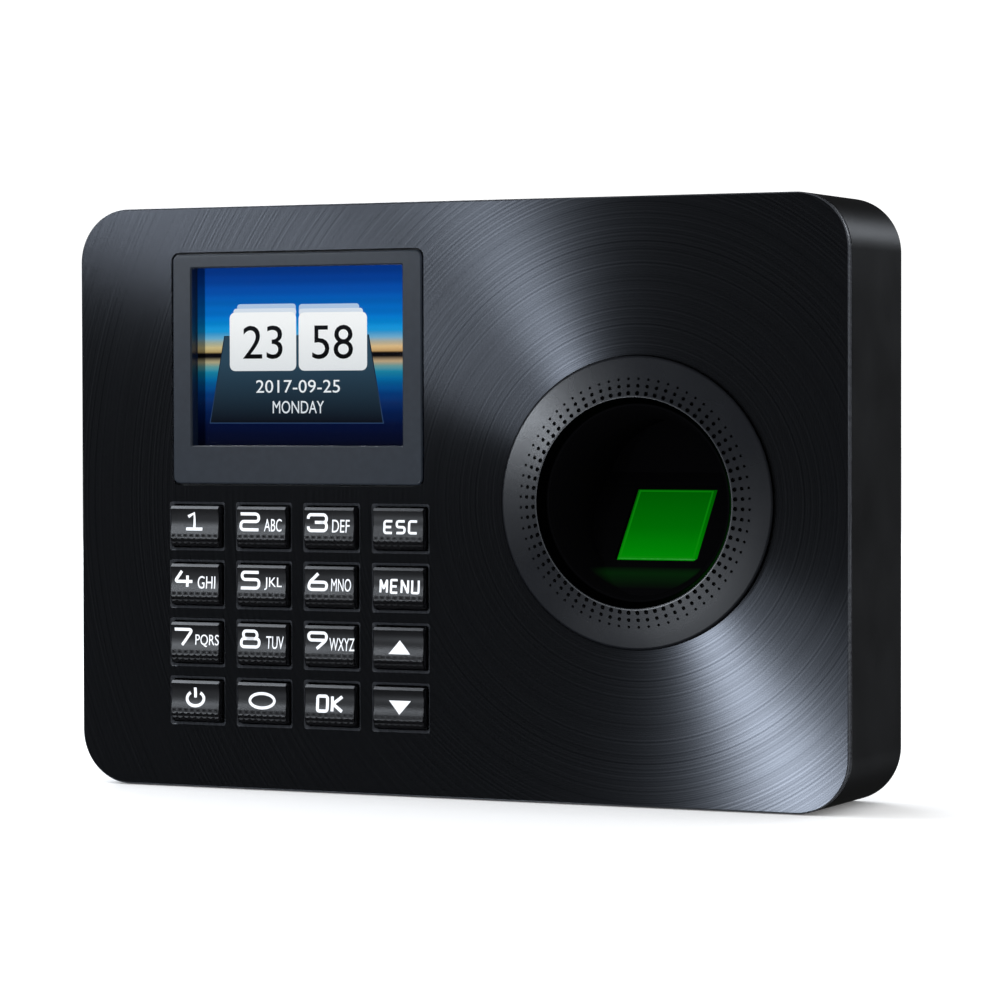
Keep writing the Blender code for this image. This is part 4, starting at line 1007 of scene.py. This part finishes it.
# ---------------------------------------------------------------------------------------------
# Sensor collar. A conical ring of dark grey satin ABS around the finger opening, with three rows of
# seventy-two pits. It is pressed into the plate's hole by the skirt behind it.
SECTOR = math.radians(5)
SECTORS = 72
COLLAR_FRONT = COLLAR_LOW.y - FACE_Y
CONE_RISE = 0.1506
# Radius ranges of the three rows of cells that carry a pit, with each pit's width.
PIT_ROWS = ((22.83, 23.83, 0.92), (24.36, 25.44, 0.80), (25.83, 26.97, 0.58))


def cone_depth(radius):
    """Depth of the collar's cone at a radius, both in mm."""
    return COLLAR_FRONT / MM + (radius - 22.6) * CONE_RISE


cone_radii = [22.62] + [radius for row in PIT_ROWS for radius in row[:2]] + [27.6, 30.75]
collar_profile = [(radius, cone_depth(radius)) for radius in cone_radii]
collar_profile += [
    (31.0, -1.0), (31.25, -0.9), (31.4, -0.72), (31.4, -0.32), (25.4, -0.32), (25.4, 1.4), (23.0, 1.4),
    (23.0, 0.0), (21.12, 0.0), (21.2, -0.12), (22.32, -2.05), (22.4, -2.2), (22.5, -2.28),
]
ring_wire = bpy.data.meshes.new("sensor_ring")
count = len(collar_profile)
ring_wire.from_pydata(
    [(SENSOR_X + radius * MM, FACE_Y + depth * MM, SENSOR_Z) for radius, depth in collar_profile],
    [(place, (place + 1) % count) for place in range(count)],
    [],
)
collar = put("sensor_ring", ring_wire)
edit(collar)
bpy.ops.mesh.select_all(action="SELECT")
axis_point = (SENSOR_X, FACE_Y, SENSOR_Z)
for share in (0.25, 0.5, 0.25):
    bpy.ops.mesh.spin(steps=1, dupli=False, angle=share * SECTOR, center=axis_point, axis=(0, 1, 0))
face_outwards(0.001 * MM)


def about_sensor(point):
    """Radius and angle of a point about the sensor's axis."""
    across, up = point.x - SENSOR_X, point.z - SENSOR_Z
    return math.hypot(across, up), math.atan2(up, across)


sector_points = bmesh.from_edit_mesh(collar.data).verts
middle_angle = sum(about_sensor(vert.co)[1] for vert in sector_points) / len(sector_points)
for inner, outer, width in PIT_ROWS:
    low, high = inner * MM, outer * MM

    def is_cell(face):
        centre = face.calc_center_median()
        radius, angle = about_sensor(centre)
        return low < radius < high and abs(angle - middle_angle) < SECTOR / 8 and centre.y < FACE_Y - MM

    choose(collar, "FACE", is_cell)
    bpy.ops.mesh.inset(thickness=((outer - inner) - width) / 2 * MM)
    corners = [vert.co.copy() for vert in bmesh.from_edit_mesh(collar.data).verts if vert.select]
    choose(collar, "VERT", lambda vert: any((vert.co - corner).length < 0.001 * MM for corner in corners))
    bpy.ops.mesh.bevel(offset=0.27 * width * MM, segments=1, affect="VERTICES")
    choose(collar, "FACE", lambda face: len(face.verts) == 8)
    bpy.ops.mesh.inset(thickness=0.12 * width * MM, depth=-0.26 * width * MM)
    choose(collar, "FACE", lambda face: len(face.verts) == 8)
    bpy.ops.mesh.poke(offset=-0.10 * width * MM)
bpy.ops.mesh.select_all(action="SELECT")
all_round = SECTOR * (SECTORS - 1)
bpy.ops.mesh.spin(steps=SECTORS - 1, dupli=True, angle=all_round, center=axis_point, axis=(0, 1, 0))
face_outwards(0.002 * MM)
leave()
smooth(collar, 24)

# Dark grey ABS with an even satin from a blasted mould, so the cone shades softly all round.
satin_grey_abs, tree, shader = new_material(
    "blasted_grey_abs", {"Base Color": colour("101114"), "Roughness": 0.27, "IOR": 1.53}
)
speck = moulded_grain(tree, shader, 0.3 * MM, 0.008 * MM, (0.25, 0.30))
# Little light finds its way into the pits: how far a point lies below the cone dims it.
reach = add(tree, "VectorMath", {"operation": "LENGTH"}, {0: across_sensor(tree)})
cone = add(
    tree,
    "Math",
    {"operation": "MULTIPLY_ADD", 1: CONE_RISE, 2: FACE_Y + cone_depth(0.0) * MM},
    {0: reach.outputs["Value"]},
)
below = add(tree, "Math", {"operation": "SUBTRACT"}, {0: along(tree, "Y"), 1: cone.outputs["Value"]})
open_face = add(
    tree,
    "MapRange",
    {"From Min": 0.02 * MM, "From Max": 0.17 * MM, "To Min": 1.0, "To Max": 0.03},
    {"Value": below.outputs["Value"]},
)
shade = add(
    tree,
    "VectorMath",
    {"operation": "SCALE"},
    {0: blend_colours(tree, speck, "0c0e11", "12141a"), "Scale": open_face.outputs["Result"]},
)
glance = add(tree, "Math", {"operation": "MULTIPLY", 1: 0.5}, {0: open_face.outputs["Result"]})
tree.links.new(shade.outputs["Vector"], shader.inputs["Base Color"])
tree.links.new(glance.outputs["Value"], shader.inputs["Specular IOR Level"])
dress(collar, satin_grey_abs, "case", "collar_plastic", "sensor_collar")

# ---------------------------------------------------------------------------------------------
# Finger well. A deep black ABS funnel screwed behind the plate, with a slope that leans back and
# holds the window, and a ramp below it. Its tool was turned, and the turning marks show as rings.


def merged_copy(name, node):
    """A copy of one of the model's nodes, with its loose triangles merged and its flat faces whole."""
    made = put(name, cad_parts[node].data.copy())
    edit(made)
    bpy.ops.mesh.select_all(action="SELECT")
    bpy.ops.mesh.remove_doubles(threshold=0.002 * MM)
    bpy.ops.mesh.dissolve_limited(angle_limit=math.radians(0.4))
    leave()
    for layer in [layer.name for layer in made.data.attributes if layer.name.startswith("custom")]:
        made.data.attributes.remove(made.data.attributes[layer])
    return made


MARK_PITCH = 0.5 * MM
well = merged_copy("finger_funnel", "finger_well")
smooth(well, 25)
# The funnel is drawn nearly black and without a gloss, as deep inside it little light arrives.
funnel_abs, tree, shader = new_material(
    "glossy_black_abs",
    {"Base Color": colour("050506"), "Roughness": 0.5, "IOR": 1.53, "Specular IOR Level": 0.0},
)
cutter_marks = {"noise_dimensions": "1D", "Scale": 1 / MARK_PITCH, "Detail": 2.0}
marks = add(tree, "TexNoise", cutter_marks, {"W": along(tree, "Y")})
marks_bump = add(tree, "Bump", {"Strength": 0.5, "Distance": 0.02 * MM}, {"Height": marks.outputs["Fac"]})
tree.links.new(marks_bump.outputs["Normal"], shader.inputs["Normal"])
tree.links.new(blend_colours(tree, marks.outputs["Fac"], "040405", "070708"), shader.inputs["Base Color"])
# The window's green light spills on the ramp below it, and fades towards the front.
WINDOW_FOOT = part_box("optic_prism")[0].z
low_down = add(
    tree,
    "MapRange",
    {"From Min": WINDOW_FOOT - 0.2 * MM, "From Max": WINDOW_FOOT - 1.6 * MM},
    {"Value": along(tree, "Z")},
)
deep_in = add(
    tree,
    "MapRange",
    {"From Min": FACE_Y + 4 * MM, "From Max": FACE_Y + 15 * MM},
    {"Value": along(tree, "Y")},
)
spill = add(
    tree, "Math", {"operation": "MULTIPLY"}, {0: low_down.outputs["Result"], 1: deep_in.outputs["Result"]}
)
shader.inputs["Emission Color"].default_value = colour("06380a")
tree.links.new(spill.outputs["Value"], shader.inputs["Emission Strength"])
dress(well, funnel_abs, "case", "well_plastic", "finger_well")

# Optical prism. A block of ground and polished glass behind the slope, whose face is the window.
# Green LEDs light it from below, so it glows, brighter towards its foot and along its ground edge.
LEAN = math.radians(38.9)
PRISM_LOW, PRISM_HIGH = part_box("optic_prism")
PRISM_SIDE = PRISM_HIGH.x - PRISM_LOW.x
PRISM_SLAB = 1.95 * MM
PRISM_FACE = 19.4 * MM
foot = Vector((SENSOR_X, PRISM_LOW.y, PRISM_LOW.z + PRISM_SLAB * math.sin(LEAN)))
slope_up = Vector((0, math.sin(LEAN), math.cos(LEAN)))
inwards = Vector((0, math.cos(LEAN), -math.sin(LEAN)))


def leaning_block(name, middle, size):
    """A block that leans back as the slope does."""
    bpy.ops.object.select_all(action="DESELECT")
    bpy.ops.mesh.primitive_cube_add(size=1, location=middle, rotation=(-LEAN, 0, 0), scale=size)
    made = bpy.context.active_object
    made.name = name
    bpy.ops.object.transform_apply(location=True, rotation=True, scale=True)
    return made


prism_middle = foot + slope_up * PRISM_FACE / 2 + inwards * PRISM_SLAB / 2
prism = leaning_block("glowing_prism", prism_middle, (PRISM_SIDE, PRISM_SLAB, PRISM_FACE))
edit(prism)
choose(prism, "FACE", lambda face: face.normal.dot(inwards) > 0.9)
extrude(inwards * 0.01 * MM)
foot_back = foot + inwards * PRISM_SLAB
top_back = foot_back + slope_up * PRISM_FACE


def is_back_foot(vert):
    """True for the two points at the foot of the slab's extended back."""
    run = vert.co - foot_back
    return run.dot(inwards) > 0.005 * MM and abs(run.dot(slope_up)) < 0.1 * MM


choose(prism, "VERT", is_back_foot)
bpy.ops.transform.translate(value=(0, top_back.y - foot_back.y, 0))
choose(prism, "EDGE", lambda edge: all((vert.co - foot).dot(inwards) < 0.01 * MM for vert in edge.verts))
bpy.ops.mesh.bevel(offset=0.45 * MM, segments=1, affect="EDGES")
face_outwards(0.02 * MM)
leave()

lit_glass, tree, shader = new_material(
    "green_lit_glass",
    {"Base Color": colour("001a04"), "Roughness": 0.12, "IOR": 1.52, "Emission Strength": 1.0},
)
rise = add(tree, "MapRange", {"From Min": PRISM_LOW.z, "From Max": PRISM_HIGH.z}, {"Value": along(tree, "Z")})
glow = add(tree, "ValToRGB", links={"Fac": rise.outputs["Result"]})
glow.color_ramp.elements[0].color = colour("008702")
glow.color_ramp.elements[1].color = colour("005101")
glow.color_ramp.elements.new(0.5).color = colour("006401")
tree.links.new(glow.outputs["Color"], shader.inputs["Emission Color"])
where = add(tree, "TexCoord").outputs["Object"]
ground = add(tree, "TexNoise", {"Scale": 900.0, "Detail": 2.0}, {"Vector": where})
polish = add(tree, "MapRange", {"To Min": 0.06, "To Max": 0.16}, {"Value": ground.outputs["Fac"]})
tree.links.new(polish.outputs["Result"], shader.inputs["Roughness"])
dress(prism, lit_glass, "case", "prism_glass", "optic_prism")

# The ground edge round the window scatters more of the light, and shows as a thin brighter line.
EDGE_LINE = 0.42 * MM
EDGE_INSET = 0.75 * MM
EDGE_HEIGHT = PRISM_FACE - 1.2 * MM
EDGE_WIDTH = PRISM_SIDE - 1.2 * MM
rim_places = []
for name, up, across, length, breadth in (
    ("lit_edge_foot", EDGE_INSET - PRISM_FACE / 2, 0, EDGE_LINE, EDGE_WIDTH),
    ("lit_edge_head", PRISM_FACE / 2 - EDGE_INSET, 0, EDGE_LINE, EDGE_WIDTH),
    ("lit_edge_left", 0, EDGE_INSET - PRISM_SIDE / 2, EDGE_HEIGHT, EDGE_LINE),
    ("lit_edge_right", 0, PRISM_SIDE / 2 - EDGE_INSET, EDGE_HEIGHT, EDGE_LINE),
):
    centre = foot + slope_up * (PRISM_FACE / 2 + up) + Vector((across, 0, 0)) - inwards * 0.01 * MM
    rim_places.append(leaning_block(name, centre, (breadth, 0.03 * MM, length)))
edge_colour = lit_print("ground_glass_edge", "0a840b", "087009", PRISM_LOW.z, PRISM_HIGH.z)
dress(join(*rim_places), edge_colour, "case", "prism_glass")

# ---------------------------------------------------------------------------------------------
# Rear cover. A moulded ABS plate, screwed on at its corners, with vents, a shallow bed for the wall
# plate, two slots for its hooks and a channel for its tongue.
cover = merged_copy("back_cover", "rear_cover")
soften(cover, 0.2 * MM, 2, 50)
smooth(cover, 30)
coarse_abs, tree, shader = new_material(
    "textured_black_abs", {"Base Color": colour("18191c"), "Roughness": 0.5, "IOR": 1.53}
)
moulded_grain(tree, shader, 0.5 * MM, 0.03 * MM, (0.46, 0.56), ("131417", "1e1f23"))
dress(cover, coarse_abs, "case", "case_plastic", "rear_cover")

# Wall plate. Pressed 1.2 mm steel with bent hooks and a bent tongue, zinc plated: pale, with soft
# patches of blue and straw, and drawn lines from the roll.
wall_plate = merged_copy("steel_wall_plate", "wall_plate")
soften(wall_plate, 0.15 * MM, 2, 50)
smooth(wall_plate, 30)
zinc_steel, tree, shader = new_material(
    "zinc_plated_steel", {"Base Color": colour("a9adb2"), "Metallic": 1.0, "Roughness": 0.36}
)
where = add(tree, "TexCoord").outputs["Object"]
patches = add(tree, "TexNoise", {"Scale": 60.0, "Detail": 3.0, "Distortion": 0.6}, {"Vector": where})
rolled = add(tree, "Mapping", {"Scale": (60, 1500, 2200)}, {"Vector": where})
lines = add(tree, "TexNoise", {"Scale": 1.0, "Detail": 2.0}, {"Vector": rolled.outputs["Vector"]})
tone = add(tree, "ValToRGB", links={"Fac": patches.outputs["Fac"]})
tone.color_ramp.elements[0].position = 0.35
tone.color_ramp.elements[0].color = colour("a4a9b0")
tone.color_ramp.elements[1].position = 0.65
tone.color_ramp.elements[1].color = colour("b6b4ae")
dull = add(tree, "MapRange", {"To Min": 0.28, "To Max": 0.46}, {"Value": lines.outputs["Fac"]})
tree.links.new(tone.outputs["Color"], shader.inputs["Base Color"])
tree.links.new(dull.outputs["Result"], shader.inputs["Roughness"])
line_bump = add(tree, "Bump", {"Strength": 0.3, "Distance": 0.01 * MM}, {"Height": lines.outputs["Fac"]})
tree.links.new(line_bump.outputs["Normal"], shader.inputs["Normal"])
dress(wall_plate, zinc_steel, "case", "zinc_steel", "wall_plate")

# ---------------------------------------------------------------------------------------------
# Screws. Pan head machine screws of zinc plated steel with a cross recess. One is modelled, head up,
# and copied for every screw in the case; each copy's head and shank take its own sizes.
PATTERN_HEAD = 1.4 * MM
PATTERN_RADIUS = 2.6 * MM
PATTERN_SHANK = 8.0 * MM
SHANK_RADIUS = 1.25 * MM
THREAD_TURNS = 8
RECESS_REACH, RECESS_HALF_WIDTH, RECESS_FLOOR = 1.6 * MM, 0.35 * MM, 0.35 * MM
# How high the head of each kind of screw stands, in mm.
HEADS = {
    "cover_screw": 1.2,
    "lock_screw": 1.4,
    "keypad_screw": 1.4,
    "board_screw": 1.4,
    "well_screw": 1.4,
    "camera_screw": 0.9,
}

screw = rod(40, PATTERN_RADIUS, PATTERN_HEAD, (0, 0, PATTERN_HEAD / 2))
edit(screw)
choose(screw, "EDGE", lambda edge: all(vert.co.z > PATTERN_HEAD - 0.01 * MM for vert in edge.verts))
bpy.ops.mesh.bevel(offset=0.75 * MM, segments=5, affect="EDGES")
choose(screw, "FACE", lambda face: face.normal.z < -0.9)
bpy.ops.mesh.inset(thickness=PATTERN_RADIUS - SHANK_RADIUS)
for thin in (0.82, 1 / 0.82) * THREAD_TURNS:
    extrude((0, 0, -PATTERN_SHANK / THREAD_TURNS / 2))
    bpy.ops.transform.resize(value=(thin, thin, 1), center_override=(0, 0, 0))
leave()
recess, across = (
    block(name, (-width, -reach, RECESS_FLOOR), (width, reach, 3 * MM))
    for name, width, reach in (
        ("recess", RECESS_HALF_WIDTH, RECESS_REACH),
        ("recess_across", RECESS_REACH, RECESS_HALF_WIDTH),
    )
)
combine(recess, across, "UNION")
edit(recess)
choose(recess, "VERT", lambda vert: vert.co.z < 1 * MM)
bpy.ops.transform.resize(value=(0.45, 0.45, 1), center_override=(0, 0, 0))
leave()
combine(screw, recess)
smooth(screw, 32)

for node in sorted(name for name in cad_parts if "_screw" in name):
    low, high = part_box(node)
    head = next(height for kind, height in HEADS.items() if node.startswith(kind)) * MM
    middle = (low + high) / 2
    faces_down = node == "lock_screw"
    size = high - low
    radius = size.x / 2
    length = (size.z if faces_down else size.y) - head
    copy = put(f"{node}_steel", screw.data.copy())
    wide = radius / PATTERN_RADIUS
    for vert in copy.data.vertices:
        if vert.co.z >= -0.001 * MM:
            vert.co = Vector((vert.co.x * wide, vert.co.y * wide, vert.co.z * head / PATTERN_HEAD))
        else:
            vert.co.z *= length / PATTERN_SHANK
    if faces_down:
        seat = Vector((middle.x, middle.y, low.z + head))
        turned = Matrix.Rotation(math.radians(180), 4, "X")
    else:
        seat = Vector((middle.x, high.y - head, middle.z))
        turned = Matrix.Rotation(math.radians(-90), 4, "X")
    copy.data.transform(Matrix.Translation(seat) @ turned)
    dress(copy, zinc_steel, "case", "zinc_steel", node)
bpy.data.objects.remove(screw, do_unlink=True)

# ---------------------------------------------------------------------------------------------
# Sockets in the bottom wall. The USB socket is a folded tinned shell round a tongue; the power
# socket is a moulded block with a round bore and a pin.
usb = merged_copy("usb_socket", "usb_port")
soften(usb, 0.12 * MM, 2, 50)
smooth(usb, 30)
dress(usb, tinned_steel, "case", "metal_tray", "usb_port")
jack = merged_copy("power_socket", "power_jack")
soften(jack, 0.15 * MM, 2, 50)
smooth(jack, 30)
epoxy, tree, shader = new_material("black_epoxy", {"Base Color": colour("141416"), "Roughness": 0.5})
moulded_grain(tree, shader, 0.2 * MM, 0.01 * MM, (0.42, 0.58), ("101012", "1b1b1e"))
dress(jack, epoxy, "case", "chip_epoxy", "power_jack")

# ---------------------------------------------------------------------------------------------
# Inside. Boards of glass fibre under green solder mask with tracks and pads, a moulded chip, a cell
# in its holder, the silicone key mat, flex ribbons and the speaker, all behind the closed cover.
TRACK_PITCH = 1.27 * MM
solder_mask, tree, shader = new_material(
    "green_solder_mask", {"Base Color": colour("0e5a34"), "Roughness": 0.35, "Coat Weight": 0.3}
)
where = add(tree, "TexCoord").outputs["Object"]
upright = add(tree, "Mapping", {"Rotation": (math.radians(90), 0, 0)}, {"Vector": where})
tracks = add(
    tree,
    "TexBrick",
    {
        "Scale": 1.0,
        "Brick Width": 9 * TRACK_PITCH,
        "Row Height": TRACK_PITCH,
        "Mortar Size": 0.16 * TRACK_PITCH,
        "Color1": colour("0b4a2b"),
        "Color2": colour("0f5b35"),
        "Mortar": colour("2c8a55"),
    },
    {"Vector": upright.outputs["Vector"]},
)
pads = add(tree, "TexVoronoi", {"Scale": 1 / (3 * TRACK_PITCH)}, {"Vector": where})
is_pad = add(tree, "Math", {"operation": "LESS_THAN", 1: 0.16}, {0: pads.outputs["Distance"]})
surface = add(
    tree,
    "Mix",
    {"data_type": "RGBA", 7: colour("c9b26a")},
    {0: is_pad.outputs["Value"], 6: tracks.outputs["Color"]},
)
tree.links.new(surface.outputs[2], shader.inputs["Base Color"])
tree.links.new(is_pad.outputs["Value"], shader.inputs["Metallic"])
carry(solder_mask, "main_board", "keypad_board", "led_board", "camera_board")

carry(epoxy, "processor", "cell_holder", "camera_lens", "speaker")
silicone, tree, shader = new_material(
    "moulded_silicone", {"Base Color": colour("6f7276"), "Roughness": 0.6, "Subsurface Weight": 0.15}
)
moulded_grain(tree, shader, 0.4 * MM, 0.01 * MM, (0.55, 0.7), ("696c70", "787b80"))
carry(silicone, "keypad_mat")

ribbon_film, tree, shader = new_material(
    "polyimide_ribbon", {"Base Color": colour("b8742a"), "Roughness": 0.3}
)
where = add(tree, "TexCoord").outputs["Object"]
leads = add(tree, "TexWave", {"bands_direction": "X", "Scale": 0.5 / (1.0 * MM) / 10}, {"Vector": where})
tree.links.new(blend_colours(tree, leads.outputs["Fac"], "8f5518", "d0903f"), shader.inputs["Base Color"])
carry(ribbon_film, "lcd_ribbon", "keypad_ribbon")

# ---------------------------------------------------------------------------------------------
# The studio: a pale floor that casts nothing into the gloss, two small front lights that draw the
# plate's wedges, a small one at the left, a soft one overhead at the left, three soft ones behind,
# and a plain white surround that the gloss sees only dimly.
FLOOR_SIZE = 12.0
FLOOR_DROP = 0.2 * MM
SURROUND, SURROUND_IN_GLOSS = 1.15, 0.025
bpy.ops.object.select_all(action="DESELECT")
bpy.ops.mesh.primitive_plane_add(size=FLOOR_SIZE, location=(0, 0, -FLOOR_DROP))
floor = bpy.context.active_object
floor.name = "studio_floor"
bpy.ops.object.transform_apply(location=True, rotation=True, scale=True)
paper, tree, shader = new_material("floor_paper", {"Base Color": colour("f2f2f2"), "Roughness": 0.9})
where = add(tree, "TexCoord").outputs["Object"]
fibre = add(tree, "TexNoise", {"Scale": 400.0, "Detail": 3.0}, {"Vector": where})
tree.links.new(blend_colours(tree, fibre.outputs["Fac"], "efefef", "f5f5f5"), shader.inputs["Base Color"])
shader.inputs["Emission Color"].default_value = colour("ffffff")
shader.inputs["Emission Strength"].default_value = 0.12
floor.data.materials.append(paper)
floor.visible_glossy = False
floor.visible_shadow = False


def light_panel(name, place, target, size, watts):
    """A soft rectangular light that faces a point and isn't seen itself."""
    lamp = bpy.data.lights.new(name, "AREA")
    lamp.shape = "RECTANGLE"
    lamp.size, lamp.size_y = size
    lamp.energy = watts
    lamp.color = (0.86, 0.92, 1.0)
    made = put(name, lamp)
    made.location = place
    made.rotation_euler = (Vector(target) - Vector(place)).to_track_quat("-Z", "Y").to_euler()
    made.visible_camera = False


AIM = (0.0, 0.0, 0.065)
CAMERA_PLACE = Vector((0.3653, -0.76765, 0.0863))


def glint_light(name, x, z, distance, size, watts):
    """A light that stands where the plate's face mirrors it towards the camera at one place."""
    glint = Vector((x, FACE_Y, z))
    seen_from = (CAMERA_PLACE - glint).normalized()
    mirrored = Vector((-seen_from.x, seen_from.y, -seen_from.z))
    light_panel(name, glint + mirrored * distance, glint, (size, size), watts)


# Each front light gives a pair of wedges: one through the lower right, one through the top left.
glint_light("front_light", SENSOR_X + 0.0450, SENSOR_Z - 0.0720, 1.1, 0.05, 2.1)
glint_light("high_front_light", SENSOR_X - 0.078, SENSOR_Z + 0.092, 1.2, 0.10, 0.45)
for name, place, size, watts in (
    ("left_light", (-0.78, -0.89, 0.29), (0.16, 0.16), 2.0),
    ("top_light", (-0.85, -0.12, 1.05), (0.6, 0.5), 6.5),
    ("right_back_light", (1.0, 1.5, 0.75), (0.6, 0.5), 5.0),
    ("left_back_light", (-1.0, 1.1, 0.5), (0.8, 0.6), 12.0),
    ("low_back_light", (1.25, 1.0, -0.42), (0.7, 0.5), 2.0),
):
    light_panel(name, place, AIM, size, watts)

world = bpy.data.worlds.new("studio")
bpy.context.scene.world = world
world.use_nodes = True
tree = world.node_tree
output = next(node for node in tree.nodes if node.type == "OUTPUT_WORLD")
surround = tree.nodes["Background"]
surround.inputs["Color"].default_value = colour("ffffff")
surround.inputs["Strength"].default_value = SURROUND
in_gloss = add(tree, "Background", {"Color": colour("ffffff"), "Strength": SURROUND_IN_GLOSS})
ray = add(tree, "LightPath").outputs
pale = add(tree, "Math", {"operation": "MAXIMUM"}, {0: ray["Is Camera Ray"], 1: ray["Is Diffuse Ray"]})
either = {0: pale.outputs["Value"], 1: in_gloss.outputs[0], 2: surround.outputs[0]}
choice = add(tree, "MixShader", links=either)
tree.links.new(choice.outputs[0], output.inputs["Surface"])
bpy.context.scene.view_settings.view_transform = "Standard"

# The camera stands a little right of the case and just above its middle, with a long lens.
CAMERA_TURN, CAMERA_DIP, CAMERA_ROLL = 25.12, 1.445, -0.123
lens = bpy.data.cameras.new("camera")
lens.lens = 138.47
lens.sensor_width = 36.0
camera = put("camera", lens)
camera.matrix_world = (
    Matrix.Translation(CAMERA_PLACE)
    @ Matrix.Rotation(math.radians(CAMERA_TURN), 4, "Z")
    @ Matrix.Rotation(math.radians(90 - CAMERA_DIP), 4, "X")
    @ Matrix.Rotation(math.radians(CAMERA_ROLL), 4, "Z")
)
bpy.context.scene.camera = camera
